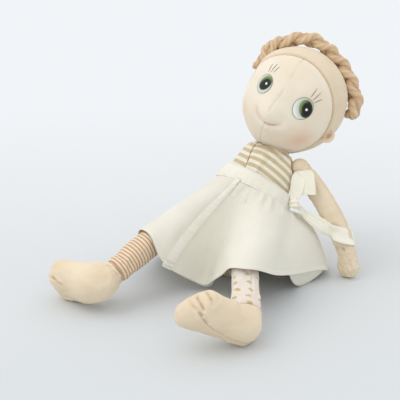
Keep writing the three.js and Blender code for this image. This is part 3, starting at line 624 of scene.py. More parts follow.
# The ears are scraps of jersey folded double and caught in the hairline seam, open to the front.
EAR_SIDE = {"left": 78, "right": 104}
EAR_OUT, EAR_ROOT = {"left": 4.8, "right": 3.0}, {"left": 2.8, "right": 0.4}
EAR_UP, EAR_DEEP, EAR_TALL, EAR_HOLLOW = -17, 2.1, 6.6, 2.6
# The ear's crease colour is painted shade, laid in the hollow inside its fold.
ear_skin = finish_jersey("ear_jersey", dye(236, 216, 190), dye(218, 184, 152),
                         [("crease_shade", dye(166, 116, 86), 0.7)])
for side, word in ((-1, "right"), (1, "left")):
    ear = ball(f"folded_ear_{word}", 40, 24)
    form = corners(ear)
    hollow = bell(np.hypot(form[:, 0] * 1.2, form[:, 2] - 0.1), 0.55) * (form[:, 1] < 0)
    form = form * np.array((EAR_OUT[word], EAR_DEEP, EAR_TALL))
    form[:, 1] += EAR_HOLLOW * hollow
    form[:, 1] += 0.06 * form[:, 0] ** 2
    # Painted shade: the hollow inside the fold is marked to be painted darker.
    mark(ear, "crease_shade", hollow)
    out = facing(side * EAR_SIDE[word], EAR_UP)
    up = unit(np.array((0, 0, 1.0)) - out * out[2])
    forward = np.cross(up, out) * side
    root = out * (HEAD_RADIUS + EAR_ROOT[word])
    local = root + form[:, :1] * out + form[:, 1:2] * forward + form[:, 2:] * up
    map_cloth(ear, form[:, 0] * MM, form[:, 2] * MM)
    reshape(ear, HEAD_CENTRE + (local * MM) @ HEAD_AXES)
    on_mesh(ear, bpy.ops.mesh.normals_make_consistent, inside=False)
    smooth(ear)
    dress(ear, ear_skin, "head", "skin_jersey", f"ear_{word}")


# The hair is three tubes of tan cloth, loosely stuffed and plaited into one hoop that is sewn on
# beside each ear. Each strand is a fuller copy of its solid, creased where the next one presses it.
def copy_solids(name, *nodes):
    """One object from copies of the solids, their loose triangles merged"""
    copies = []
    for node in nodes:
        copied = bpy.data.objects.new(name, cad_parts[node].data.copy())
        bpy.context.collection.objects.link(copied)
        copies.append(copied)
    select_only(*copies)
    if len(copies) > 1:
        bpy.ops.object.join()
    piece = bpy.context.object
    piece.name = name
    on_mesh(piece, bpy.ops.mesh.remove_doubles, threshold=MERGE)
    return piece


def one_skin(piece, voxel, rounds=4):
    """One closed skin round all of it, its facets and slits smoothed away"""
    remesh = piece.modifiers.new("skin", "REMESH")
    remesh.mode, remesh.voxel_size = "VOXEL", voxel
    soften = piece.modifiers.new("soften", "SMOOTH")
    soften.factor, soften.iterations = 0.5, rounds
    apply_all(piece)
    return piece


def outward(piece):
    found = np.empty(len(piece.data.vertices) * 3)
    piece.data.vertex_normals.foreach_get("vector", found)
    return found.reshape(-1, 3)


def nearest_on(line, points):
    """For each point: how far along the line it lies, and the line's place and direction there"""
    best = np.full(len(points), 1e9)
    along, centre, way = np.zeros(len(points)), np.zeros_like(points), np.zeros_like(points)
    gone = 0.0
    for start, end in zip(line, line[1:]):
        run = end - start
        length = np.linalg.norm(run)
        part = np.clip((points - start) @ run / length ** 2, 0, 1)
        place = start + part[:, None] * run
        away = np.linalg.norm(points - place, axis=1)
        closer = away < best
        best[closer], along[closer] = away[closer], gone + part[closer] * length
        centre[closer], way[closer] = place[closer], run / length
        gone += length
    return along, centre, way


def finish_hair():
    look = Look("hair_cloth", roughness=0.92, sheen=0.2)
    across, down, flat = look.cloth_place()
    place = look.place()
    cloud = look.ease(look.noise(place, 60.0, 3.0), 0.3, 0.72)
    streak = look.noise(flat, FLUFF_FINE, 2.0, (1.0, 0.12, 1.0))
    tint = look.mix(cloud * 0.6 + streak * 0.3, dye(229, 204, 170), dye(208, 176, 138))
    # Painted shade: the cloth darkens towards brown where it is marked as lying in a fold's trough.
    look.feed("Base Color", look.mix(look.marked("crease_shade") * 0.5, tint, dye(158, 118, 82)))
    look.bump(knit(across, down, 0.0009, 0.0007) * 0.5 + streak * 0.8, 0.00025, 0.7)
    return look


hair_look = finish_hair()
HOOP_ENDS, HOOP_TILT, HOOP_TURN, PLAIT_TURNS = (15, 179), 4, math.radians(12), 3
LOOSE = ((30, 12, 2), (108, 18, 4), (152, 10, 2.5))
# Its end over the doll's right ear curls in against the head.
HOOP_CURL = (8.0, 4.0, -3.5)
STRAND_ROUND, STRAND_SEAT, WEAVE_RISE, WEAVE_SIDE = 3.2, 2.35, 3.3, 5


def wave(turn):
    """The sine of an angle in degrees"""
    return np.sin(np.radians(turn))


def turned(first, second, angle):
    """Two coordinates turned round the third axis"""
    return (first * math.cos(angle) - second * math.sin(angle),
            first * math.sin(angle) + second * math.cos(angle))


def strand_line(order, count=160):
    """The middle of a strand, in the row's frame, as it goes over and under the others"""
    share = np.linspace(0, 1, count)
    turn = HOOP_ENDS[0] + (HOOP_ENDS[1] - HOOP_ENDS[0]) * share
    weave = 2 * np.pi * (PLAIT_TURNS * share + order / 3)
    loose = sum(high * bell(turn - middle, wide) for middle, wide, high in LOOSE)
    reach = HEAD_RADIUS + WEAVE_RISE + STRAND_SEAT + loose + WEAVE_RISE * np.sin(2 * weave)
    y, z = turned(WEAVE_SIDE * np.sin(weave), reach * wave(turn), math.radians(-HOOP_TILT))
    x, y = turned(reach * np.cos(np.radians(turn)), y, HOOP_TURN)
    local = np.stack([x, y, z], -1)
    return HEAD_CENTRE + (local * MM) @ HEAD_AXES


for order in range(3):
    strand = one_skin(copy_solids(f"hair_strand_{order + 1}", f"braid_strand_{order + 1}"), 0.9 * MM, 6)
    line = strand_line(order)
    places, normals = corners(strand), outward(strand)
    along, centre, way = nearest_on(line, places)
    share = along / spans(line).sum()
    spoke = places - centre
    outward_way = HEAD_AXES[1] - way * (way @ HEAD_AXES[1])[:, None]
    round_it = np.arctan2((np.cross(way, outward_way) * spoke).sum(1), (outward_way * spoke).sum(1))
    lumps = ripple(places, 9 * MM, 20 + order)
    folds = np.sin(round_it * 3 + along / MM * 0.9 + 1.5 * ripple(places, 16 * MM, 40 + order))
    swell = 1.45 + 0.5 * lumps + 0.3 * folds + 0.9 * np.exp(-share / 0.2)
    taper = 1 - 0.55 * np.exp(-share / 0.03) - 0.55 * np.exp(-(1 - share) / 0.03)
    curled = eased(np.clip((share - 0.7) / 0.3, 0, 1))
    places = places + curled[:, None] * np.array(HOOP_CURL) * MM
    reshape(strand, places + normals * (swell * taper * MM)[:, None])
    # Painted shade: the troughs of the folds and lumps are marked to be painted darker.
    mark(strand, "crease_shade", np.clip(0.35 - 0.5 * folds - 0.3 * lumps, 0, 1) * 0.8)
    map_cloth(strand, round_it * STRAND_ROUND * MM, along, 2 * math.pi * STRAND_ROUND * MM)
    finer(strand)
    smooth(strand)
    dress(strand, hair_look, "head", "hair_cloth", f"braid_strand_{order + 1}")


# The neck is a short sleeve of jersey over a plug of stuffing, mostly hidden under the chin. It turns
# in its own socket, so it keeps the round form of its solid.
# Its crease colour is painted shade, laid in seams, tucks and creases and over parts that sit in shade.
skin_look = finish_jersey("skin_jersey", dye(233, 217, 190), dye(222, 201, 170),
                          [("crease_shade", dye(168, 128, 98), 0.6)])


def flat_cloth(piece, line, radius, start_axis):
    """Cloth coordinates round and along a limb"""
    places = corners(piece)
    along, centre, way = nearest_on(line, places)
    spoke = places - centre
    first = start_axis - way * (way @ start_axis)[:, None]
    first /= np.linalg.norm(first, axis=1)[:, None] + TINY
    second = np.cross(way, first)
    angle = np.arctan2((spoke * second).sum(1), (spoke * first).sum(1))
    map_cloth(piece, angle * radius, along, 2 * math.pi * radius)
    return along, angle


NECK = np.array((18.75, 43.46, 109.43)) * MM
neck = one_skin(copy_solids("neck_sewn", "neck_sleeve", "neck_stuffing"), 1.1 * MM)
flat_cloth(neck, np.array((NECK - HEAD_AXES[2] * 0.02, NECK + HEAD_AXES[2] * 0.02)), 12 * MM, HEAD_AXES[0])
# Painted shade: the whole neck is painted a little darker, as it sits under the chin.
mark(neck, "crease_shade", 0.25)
smooth(neck)
dress(neck, skin_look, "collar", "skin_jersey", "neck_sleeve", "neck_stuffing")


# The torso is a bag of khaki and white striped jersey in two halves, sewn down the front and the back
# with the stripes half a stripe apart, and stuffed until the cloth is tight.
PUFF_FRAMES = 20


def puff(piece, held, reach, pressure):
    """Cloth simulation: the stuffing presses the skin out between the places where it is held"""
    rest = corners(piece)
    group = piece.vertex_groups.new(name="held")
    group.add([int(i) for i in np.flatnonzero(held)], 1.0, "REPLACE")
    cloth = piece.modifiers.new("stuffing", "CLOTH")
    settings = cloth.settings
    settings.quality = 4
    settings.mass = 0.2
    settings.tension_stiffness = settings.compression_stiffness = 12
    settings.shear_stiffness = 4
    settings.bending_stiffness = 0.05
    settings.use_pressure = True
    settings.uniform_pressure_force = pressure
    settings.shrink_min = -0.06
    settings.vertex_group_mass = "held"
    settings.effector_weights.gravity = 0
    for count in range(1, PUFF_FRAMES + 1):
        bpy.context.scene.frame_set(count)
    apply_all(piece)
    bpy.context.scene.frame_set(1)
    moved = corners(piece) - rest
    far = np.linalg.norm(moved, axis=1)
    moved *= np.minimum(1, reach / np.maximum(far, TINY))[:, None]
    moved *= np.isfinite(moved)
    reshape(piece, rest + moved)


# The torso's middle line, from the seat to the neck
TORSO_LINE = np.array(((0, -19.23, 3.42), (-0.06, -10.95, 17.42), (0.65, -2.68, 31.4), (2.42, 5.55, 45.32),
                       (4.79, 13.74, 59.17), (7.83, 21.87, 72.92), (11.66, 29.92, 86.53),
                       (15.85, 37.92, 100.06), (20, 45.93, 113.59))) * MM
TORSO_ROUND, STRIPE, STRIPE_LEAN, STRIPE_DIP = 30, 6.5, {"left": -1, "right": 1}, 10
# The front seam is pulled askew, further to the doll's left towards the neck.
SEAM_POINT, SEAM_SLOPE = np.array((5.0, 0, 88.0)) * MM, 0.04


def finish_torso():
    look = Look("torso_jersey", roughness=0.94, sheen=0.15)
    across, down, _ = look.cloth_place()
    place = look.place()
    fluff = look.noise(place, FLUFF_FINE)
    waver = look.noise(place, 45.0, 2.0) - 0.5
    band = ((down / (STRIPE * MM) + waver * 0.12) * (2 * math.pi)).maths("SINE")
    white = look.mix(fluff, dye(242, 236, 224), dye(228, 219, 203))
    khaki = look.mix(fluff, dye(210, 196, 156), dye(192, 174, 136))
    tint = look.mix(look.ease(band, -0.25, 0.1), white, khaki)
    # Painted shade: the jersey darkens where it is marked, at the front seam and where the cloth lies close
    # to the torso's middle line.
    look.feed("Base Color", look.mix(look.marked("crease_shade") * 0.45, tint, dye(132, 116, 82)))
    look.feed("Roughness", fluff * 0.1 + 0.86)
    look.bump(knit(across, down) * 0.6 + fluff * 0.8, 0.00025, 0.7)
    return look


def off_seam(places):
    """How far to the doll's left of the seam each point lies"""
    return places[:, 0] - SEAM_POINT[0] - SEAM_SLOPE * (places[:, 2] - SEAM_POINT[2])


torso_look = finish_torso()
whole_torso = one_skin(copy_solids("whole_torso", "torso_right", "torso_left", "torso_stuffing"), 2.0 * MM, 5)
torso_places = corners(whole_torso)
along, centre, way = nearest_on(TORSO_LINE, torso_places)
girth = np.linalg.norm(torso_places - centre, axis=1)
held = (np.abs(off_seam(torso_places)) < 2 * MM) | (girth < 21 * MM) | (torso_places[:, 2] < 1 * MM)
puff(whole_torso, held, 1.8 * MM, 3.0)
for side, word in ((-1, "right"), (1, "left")):
    half = copy_of(whole_torso, f"torso_half_{word}")
    finer(half)
    cut_away(half, SEAM_POINT, (side, 0, -side * SEAM_SLOPE))
    places, normals = corners(half), outward(half)
    along, centre, way = nearest_on(TORSO_LINE, places)
    seam = bell(off_seam(places), 1.1 * MM)
    pucker = 1 + 0.25 * np.sin(along / MM * 1.7)
    wrinkle = 0.35 * ripple(places * np.array((0.5, 0.5, 1.6)), 17 * MM, 11)
    outer = np.linalg.norm(places - centre, axis=1) > 20 * MM
    push = (wrinkle * outer - 0.45 * seam * pucker * (np.abs(normals[:, 0]) < 0.8)) * MM
    push[places[:, 2] < 1.2 * MM] = 0
    reshape(half, places + normals * push[:, None])
    turn = np.arctan2(places[:, 0] - centre[:, 0], -(places[:, 1] - centre[:, 1]))
    dip = STRIPE_DIP * (1 - np.cos(turn)) * (side > 0) + STRIPE_LEAN[word] * np.sin(turn)
    dipped = along + dip * MM + (STRIPE / 2 * MM if side > 0 else 0)
    map_cloth(half, turn * TORSO_ROUND * MM, dipped, 2 * math.pi * TORSO_ROUND * MM)
    # Painted shade: the seam and the cloth close to the middle line are marked to be painted darker.
    mark(half, "crease_shade", np.clip(0.3 * bell(off_seam(places), 0.8 * MM) + 0.5 * ~outer, 0, 1))
    smooth(half)
    bpy.ops.object.shade_smooth_by_angle(angle=math.radians(60))
    dress(half, torso_look, "torso", "striped_jersey", f"torso_{word}",
          *(["torso_stuffing"] if side > 0 else []))
bpy.data.objects.remove(whole_torso)


# The arms are tubes of skin-coloured jersey with mitten hands, sewn up their outer side. The wrist is
# drawn in under a star of three stitches, and three rows of stitches through the hand part the fingers.
# The arms' middle lines, from the shoulder to the hand
ARM_LINES = {
    "right": ((-6.15, 47.42, 108.09), (-9.21, 55.84, 96.02), (-12.23, 64.13, 83.84), (-14.85, 71.32, 70.89),
              (-17.19, 77.76, 57.51), (-19.16, 83.16, 43.62), (-20.7, 87.4, 29.27), (-21.37, 89.25, 14.4),
              (-20.8, 87.68, -0.5)),
    "left": ((39.23, 42.56, 101.79), (49.65, 42.56, 90.95), (59.95, 42.56, 79.99), (69.17, 42.56, 68.11),
             (77.67, 42.56, 55.71), (85.13, 42.56, 42.65), (91.42, 42.56, 28.99), (95.26, 42.56, 14.5),
             (95.5, 42.56, -0.5)),
}
ARM_OUT = {"right": np.array((-0.3216, 0.8835, 0.3406)), "left": np.array((0.8895, 0, 0.457))}
ARM_FRONT = {"right": np.array((0.9397, 0.342, 0)), "left": np.array((0, -1.0, 0))}
ARM_ROUND, SHOULDER_RADIUS, HAND_START, WRIST, FINGER_LINES = 8.5, 8.9, 92, 88, (-4.6, 0.6, 5.2)
WRIST_STITCH = {"left": np.array((93.9, 33.2, 30.0)) * MM, "right": np.array((-11.6, 89, 30.0)) * MM}
seam_thread = finish_thread("seam_thread", dye(164, 132, 98), dye(194, 164, 128))
SHOULDERS = {"right": (-7.71, 51.72, 101.78), "left": (44.57, 42.56, 96.11)}


def flatten_floor(piece):
    """What rests on the floor is flat there"""
    places = corners(piece)
    places[:, 2] = np.maximum(places[:, 2], 0)
    reshape(piece, places)


for word in ("right", "left"):
    arm = one_skin(copy_solids(f"arm_sewn_{word}", f"arm_skin_{word}", f"arm_stuffing_{word}"), 1.5 * MM, 4)
    line = np.array(ARM_LINES[word]) * MM
    places = corners(arm)
    along, angle = flat_cloth(arm, line, ARM_ROUND * MM, ARM_OUT[word])
    slim = 1 / (1 + np.exp(-(along / MM - HAND_START) / 4))
    full = (1.0 + 0.5 * (along > 6 * MM)) * (1 - slim) - 0.2 * slim
    grown = np.clip(places[:, 2] / (6 * MM), 0, 1) * full * MM
    reshape(arm, places + outward(arm) * grown[:, None])
    places = corners(arm)
    puff(arm, (places[:, 2] < 1 * MM) | (along < 10 * MM), 1.0 * MM, 4.0)
    finer(arm)
    places, normals = corners(arm), outward(arm)
    along, angle = flat_cloth(arm, line, ARM_ROUND * MM, ARM_OUT[word])
    down = along / MM
    seam = bell(np.abs(angle) * ARM_ROUND, 0.9) * (1 + 0.4 * np.sin(down * 2.4))
    wrist = bell(down - WRIST, 2.4) * (0.5 + 0.5 * np.cos(angle - 1.9))
    hand = 1 / (1 + np.exp(-(down - HAND_START - 4) / 2))
    across_hand = (places - np.array(line[-2])) @ ARM_OUT[word] / MM
    front = np.abs(normals @ ARM_FRONT[word])
    fingers = sum(bell(across_hand - place, 0.9) for place in FINGER_LINES) * hand * front
    creases = 0.3 * np.sin(down * 0.75 + 1.2 * np.sin(angle)) * ripple(places, 24 * MM, 31)
    push = -0.4 * seam - 0.8 * wrist - 0.45 * fingers + creases + 0.25 * ripple(places, 12 * MM, 33)
    push *= np.clip((down - 3) / 6, 0, 1)
    reshape(arm, places + normals * (push * MM)[:, None])
    # Painted shade: the seam, the drawn-in wrist and the finger stitches are painted darker, as shade in
    # their grooves.
    mark(arm, "crease_shade", np.clip(0.3 * seam + 0.3 * wrist + 0.22 * fingers, 0, 1))
    flatten_floor(arm)
    smooth(arm)
    dress(arm, skin_look, f"arm_{word}", "skin_jersey", f"arm_skin_{word}", f"arm_stuffing_{word}")
    wrist_at = WRIST_STITCH[word]
    star = [[wrist_at + np.array(tip) * -MM, wrist_at, wrist_at + np.array(tip) * MM]
            for tip in ((1.9, 0, 0.8), (-0.9, 0, 2.0), (1.2, 0, -1.6))]
    sew_dashes(f"wrist_stitch_{word}", arm, star, 0.38 * MM, seam_thread, f"arm_{word}", "skin_jersey")

    shoulder = ball(f"shoulder_sewn_{word}", 48, 24, SHOULDER_RADIUS * MM)
    reshape(shoulder, corners(shoulder) + np.array(SHOULDERS[word]) * MM)
    map_cloth(shoulder, corners(shoulder)[:, 0], corners(shoulder)[:, 2])
    # Painted shade: the shoulder round is painted a little darker, as it sits in its socket.
    mark(shoulder, "crease_shade", 0.1)
    smooth(shoulder)
    dress(shoulder, skin_look, f"shoulder_{word}", "skin_jersey", f"shoulder_round_{word}")


# The legs are stuffed tubes of printed jersey: the right one brown and cream stripes, the left one
# off-white with small khaki leaves. Each ends in a round of the torso's jersey at the hip.
# What the legs' middle lines pass through, from the hip to the ankle
LEG_ENDS = {
    "right": ((-14.86, -7.23, 17.01), (-18.5, -16.7, 23.41), (-34.07, -57.27, 50.85),
              (-54.59, -110.71, 31.22)),
    "left": ((12.98, -6.75, 19.6), (18.5, -16.7, 23.41), (40.81, -56.94, 38.82), (67.44, -104.98, 19.9)),
}
LEG_RADIUS, LEG_STRIPE, LEAF_ROW, LEAF_COLUMN = 12.5, 3.0, 7.6, 12.2
LEG_ACROSS = {"right": np.array((0.93358, -0.35837, 0)), "left": np.array((0.87462, 0.48481, 0))}


def curve_through(points, count):
    """A smooth line through the points, at even steps of its parameter"""
    points = [np.array(point, dtype=float) for point in points]
    ends = [2 * points[0] - points[1], *points, 2 * points[-1] - points[-2]]
    made = []
    for share in np.linspace(0, len(points) - 1, count):
        i = min(int(share), len(points) - 2)
        t = share - i
        before, first, second, after = ends[i:i + 4]
        leave, reach = 0.5 * (second - before), 0.5 * (after - first)
        made.append(first + leave * t + (3 * (second - first) - 2 * leave - reach) * t ** 2
                    + (2 * (first - second) + leave + reach) * t ** 3)
    return np.array(made)


def finish_striped_leg():
    look = Look("right_leg_jersey", roughness=0.94, sheen=0.15)
    across, down, _ = look.cloth_place()
    fluff = look.noise(look.place(), FLUFF_FINE)
    band = ((down / (LEG_STRIPE * MM)) * (2 * math.pi)).maths("SINE")
    brown = look.mix(fluff, dye(202, 158, 118), dye(178, 132, 94))
    cream = look.mix(fluff, dye(240, 224, 200), dye(226, 204, 176))
    look.feed("Base Color", look.mix(look.ease(band, 0.1, 0.7), cream, brown))
    look.bump(knit(across, down) * 0.6 + fluff * 0.8 - look.ease(band, -0.1, 0.3) * 0.8, 0.0003, 0.7)
    return look


def finish_leaf_leg():
    """Rows of small leaves, each row a little across from the last"""
    look = Look("left_leg_jersey", roughness=0.94, sheen=0.15)
    across, down, _ = look.cloth_place()
    place = look.place()
    fluff = look.noise(place, FLUFF_FINE)
    stray = look.noise(place, 90.0, 1.0) - 0.5
    row = down / (LEAF_ROW * MM)
    shift = (row.maths("FLOOR") * 0.37).maths("FRACT") * 0.35
    column = across / (LEAF_COLUMN * MM) + shift
    east = (column.maths("FRACT") - 0.5) * LEAF_COLUMN + stray * 2.0
    north = (row.maths("FRACT") - 0.5) * LEAF_ROW + stray * 1.2 + east * 0.25
    leaf = ((east / 2.9) ** 2 + (north / (1.5 - (east * 0.16))) ** 2) ** 0.5
    vein = look.ease((north + east * east * 0.05).maths("ABSOLUTE"), 0.05, 0.5)
    ground = look.mix(fluff, dye(236, 226, 216), dye(224, 212, 200))
    green = look.mix(vein, dye(206, 184, 132), dye(190, 170, 98))
    ragged = look.noise(place, 700.0, 2.0) * 0.5
    look.feed("Base Color", look.mix((1 - look.ease(leaf + ragged, 0.95, 1.3)) * 0.85, ground, green))
    look.bump(knit(across, down) * 0.6 + fluff * 0.8, 0.00025, 0.7)
    return look


leg_looks = {"right": (finish_striped_leg(), "brown_striped_jersey"),
             "left": (finish_leaf_leg(), "printed_jersey")}
for word in ("right", "left"):
    leg = one_skin(copy_solids(f"leg_sewn_{word}", f"leg_skin_{word}", f"leg_stuffing_{word}"), 1.8 * MM, 4)
    line = curve_through(LEG_ENDS[word], 25) * MM
    places = corners(leg)
    along, angle = flat_cloth(leg, line, LEG_RADIUS * MM, LEG_ACROSS[word])
    length = spans(line).sum()
    puff(leg, (along > length - 4 * MM) | (along < 14 * MM), 1.2 * MM, 4.0)
    finer(leg)
    places, normals = corners(leg), outward(leg)
    along, angle = flat_cloth(leg, line, LEG_RADIUS * MM, LEG_ACROSS[word])
    down = along / MM
    seam = bell((np.abs(angle) - math.pi) * LEG_RADIUS, 0.9) * (1 + 0.4 * np.sin(down * 2.2))
    creases = 0.35 * np.sin(down * 0.5 + 1.4 * np.sin(angle + 1)) * ripple(places, 28 * MM, 51)
    push = (creases - 0.5 * seam + 0.3 * ripple(places, 15 * MM, 53)) * np.clip((down - 12) / 8, 0, 1)
    reshape(leg, places + normals * (push * MM)[:, None])
    smooth(leg)
    look, slot = leg_looks[word]
    dress(leg, look, f"leg_{word}", slot, f"leg_skin_{word}", f"leg_stuffing_{word}")

    hip = one_skin(copy_solids(f"hip_sewn_{word}", f"hip_round_{word}"), 0.7 * MM, 3)
    map_cloth(hip, corners(hip)[:, 0], corners(hip)[:, 2])
    # Painted shade: the hip round is painted darker, as it sits in the joint between leg and torso.
    mark(hip, "crease_shade", 0.3)
    smooth(hip)
    dress(hip, torso_look, f"hip_{word}", "striped_jersey", f"hip_round_{word}")


# The feet are big and skin-coloured, an inner and an outer half sewn together down the middle of the
# sole, with tight tucks at the front that part the toes.
# Each foot's own frame: where it starts and its three directions
FEET = {
    "right": (np.array((-54.71, -111.02, 31.11)),
              np.array(((-0.1812, -0.2773, 0.9436), (-0.9232, 0.3786, -0.066), (-0.339, -0.883, -0.3246)))),
    "left": (np.array((67.6, -105.27, 19.79)),
             np.array(((0.631, 0.0447, 0.7745), (-0.6259, -0.5606, 0.5423), (0.4584, -0.8269, -0.3258)))),
}
# In the foot's frame, millimetres: out from the middle, forward to the toes and down to the sole
SOLE_SEAM = ((5.5, 49, 30.5), (1.1, 40, 32), (-1.5, 34.5, 32), (-3.5, 27, 31.3), (-4.5, 19, 30.7),
             (-5, 10, 30), (-4, 0, 29.5), (-3, -8, 27), (-2, -13, 20), (-1, -14, 10))
TUCKS = {
    "left": (((3, 57, 16), (4, 56, 24), (5.5, 51, 29)), ((6.3, 49.5, 30.2), (4.5, 45, 31)),
             ((1.6, 41, 32), (0.4, 38, 32)), ((9.5, 54, 20), (10, 49, 27.5), (9, 46.5, 29.5)),
             ((16, 49, 17), (17.3, 44.5, 26), (15.6, 42.5, 28)),
             ((20.2, 44.5, 14), (20.6, 40.7, 20), (19.6, 39.5, 24))),
    "right": (((-9, 36, 39.5), (-5.7, 28.1, 38.8), (-4.3, 25, 38.2)), ((1, 41, 38), (1, 35, 37)),
              ((8, 43, 34), (8, 37, 35)), ((14, 42, 27), (14.5, 36, 30))),
}
# How many millimetres fuller than its solid each heel and each big toe is
HEEL_FULL, BIG_TOE = {"left": 0.5, "right": 6.0}, {"left": 6.5, "right": 0.0}


def off_path(points, path):
    """Millimetres from each point to a path"""
    nearest = nearest_on(np.array(path, dtype=float), points)[1]
    return np.linalg.norm(points - nearest, axis=1)


for side, word in ((-1, "right"), (1, "left")):
    foot = one_skin(copy_solids(f"foot_sewn_{word}", f"foot_inner_{word}", f"foot_outer_{word}",
                                f"foot_stuffing_{word}"), 1.6 * MM, 5)
    root, axes = FEET[word]
    places = corners(foot)
    local = (places / MM - root) @ axes.T
    heel = HEEL_FULL[word] * bell(local[:, 1] - 3, 17) * np.clip((local[:, 2] - 10) / 16, 0, 1)
    inner_front = np.clip((local[:, 1] - 22) / 25, 0, 1) * np.clip((6 - side * local[:, 0]) / 12, 0, 1)
    big_toe = inner_front * BIG_TOE[word]
    places = places + heel[:, None] * MM * axes[2]
    places = places + big_toe[:, None] * MM * (0.8 * axes[1] - 0.6 * side * axes[0])
    places[:, 2] = np.maximum(places[:, 2], 0)
    reshape(foot, places)
    puff(foot, (local[:, 2] < 1.5) | (places[:, 2] < 1 * MM), 1.3 * MM, 4.0)
    finer(foot)
    places, normals = corners(foot), outward(foot)
    local = (places / MM - root) @ axes.T
    local = local * np.array((side, 1, 1))
    down = local[:, 2]
    off_tucks = [off_path(local, tuck) for tuck in TUCKS[word]]
    stitches, tucks, toes = (sum(bell(away, wide) for away in off_tucks) for wide in (0.75, 1.4, 5.5))
    sole = np.array(SOLE_SEAM) * np.array((side, 1, 1))
    seam = bell(off_path(local, sole), 0.9)
    dashes = seam * (0.55 + 0.45 * np.sin(local[:, 1] * 2.6)) * (1 if side > 0 else 0.4)
    push = 1.1 * np.clip(toes, 0, 1) - 2.2 * np.clip(tucks, 0, 1) - 0.45 * dashes
    push += 0.35 * ripple(places, 19 * MM, 61) + 0.2 * ripple(places, 8 * MM, 63)
    push *= np.clip((down - 1) / 4, 0, 1)
    reshape(foot, places + normals * (push * MM)[:, None])
    map_cloth(foot, local[:, 0] * MM, local[:, 1] * MM)
    # Painted shade: the tucks, the lines along them and the sole seam are painted darker, where shade falls
    # in their creases.
    mark(foot, "crease_shade", np.clip(0.8 * stitches + 0.25 * tucks + 0.35 * dashes, 0, 1))
    flatten_floor(foot)
    smooth(foot)
    dress(foot, skin_look, f"foot_{word}", "skin_jersey", f"foot_inner_{word}", f"foot_outer_{word}",
          f"foot_stuffing_{word}")
    if word == "left":
        sewn = (np.array(SOLE_SEAM) @ axes + root) * MM
        sew_dashes("sole_stitches_left", foot, dashed(sewn, 1.9 * MM, 0.6), 0.27 * MM, seam_thread,
                   "foot_left", "skin_jersey")


# The waistband is a doubled strip of cream cotton, turned in along both edges and stitched down, with
# the skirt gathered under it.
YARN_APART = 0.00055


def finish_cotton(name, colour, shade):
    """Washed plain-weave cotton with faint slubs"""
    look = Look(name, roughness=0.96, sheen=0.1)
    across, down, flat = look.cloth_place()
    place = look.place()
    cloud = look.ease(look.noise(place, 26.0, 3.0), 0.3, 0.7)
    slubs = [look.noise(flat, 700.0, 2.0, way) * 0.5 for way in ((1.0, 0.15, 1.0), (0.15, 1.0, 1.0))]
    slub = slubs[0] + slubs[1]
    warp = (across * (math.pi / YARN_APART)).maths("SINE")
    weft = (down * (math.pi / YARN_APART)).maths("SINE")
    weave = (warp * weft).maths("ABSOLUTE")
    tint = look.mix(cloud * 0.5 + slub * 0.35, colour, shade)
    # Painted shade: the cloth darkens where it is marked as creased, as in the knot's folds.
    look.feed("Base Color", look.mix(look.marked("crease_shade") * 0.4, tint, dye(166, 160, 138)))
    look.bump(weave * 0.6 + slub, 0.0002, 0.6)
    return look


TORSO_LENGTH, TORSO_WIDE, TORSO_DEEP = 128, 34, 26.5
NECK_LEAN, SEAT_BACK, SEAT_DROP, LEAN_BACK = 20, 8, 18.5, math.radians(30.6)
TORSO_PLACE = np.array((0, -16.7, 23.41))
spine = curve_through([(NECK_LEAN * lean, SEAT_BACK, TORSO_LENGTH * up - SEAT_DROP)
                       for up, lean in ((0, 0), (0.25, 0.03), (0.6, 0.35), (1, 1))], 400)
spine_gone = gone_along(spine)
# Up the spine, the torso's half width and half depth as shares of its widest
TORSO_STATIONS = ((0, 1, 1), (0.2, 1, 1), (0.45, 1.02, 1.01), (0.66, 1.01, 0.96), (0.82, 0.93, 0.88),
                  (1, 0.76, 0.76))


def on_torso(turn, distance, away):
    """A point on the torso's cloth, by degrees round from the front and millimetres up the spine"""
    share = np.clip(distance / spine_gone[-1], 0, 1)
    centre = place_at(distance, spine_gone, spine)
    way = unit(place_at(distance + 0.5, spine_gone, spine) - place_at(distance - 0.5, spine_gone, spine))
    side = unit(np.array((1.0, 0, 0)) - way * way[..., :1])
    through = np.cross(side, way)
    wide, deep = np.zeros_like(share), np.zeros_like(share)
    for (start, w0, d0), (end, w1, d1) in zip(TORSO_STATIONS, TORSO_STATIONS[1:]):
        part = eased(np.clip((share - start) / (end - start), 0, 1))
        inside = (share >= start) & (share <= end)
        wide = np.where(inside, (w0 + (w1 - w0) * part) * TORSO_WIDE, wide)
        deep = np.where(inside, (d0 + (d1 - d0) * part) * TORSO_DEEP, deep)
    point = centre + side * ((wide + away) * wave(turn))[..., None]
    point = point + through * ((deep + away) * np.cos(np.radians(turn)))[..., None]
    point[..., 1], point[..., 2] = turned(point[..., 1], point[..., 2], -LEAN_BACK)
    return point + TORSO_PLACE


BAND_HEIGHT, BAND_DISTANCE, BAND_CLEAR, BAND_THICK, WAIST_RADIUS = 12.5, 86, 0.8, 1.2, 31.5


def band_line(turn):
    """How far up the spine the band's middle lies, higher in front"""
    return BAND_DISTANCE + 5 * np.cos(np.radians(turn)) + 0.5 * wave(turn)


def cloth_grid(name, columns, rows, surface, size, ring=False):
    """A grid laid on a surface(across, down); size is its flat width and length in metres"""
    bpy.ops.mesh.primitive_grid_add(x_subdivisions=columns, y_subdivisions=rows, size=2)
    piece = bpy.context.object
    piece.name = name
    flat = corners(piece)
    u, v = (flat[:, 0] + 1) / 2, (1 - flat[:, 1]) / 2
    map_cloth(piece, u * size[0], v * size[1])
    reshape(piece, surface(u, v) * MM)
    if ring:
        on_mesh(piece, bpy.ops.mesh.remove_doubles, threshold=10 * MERGE)
    return piece


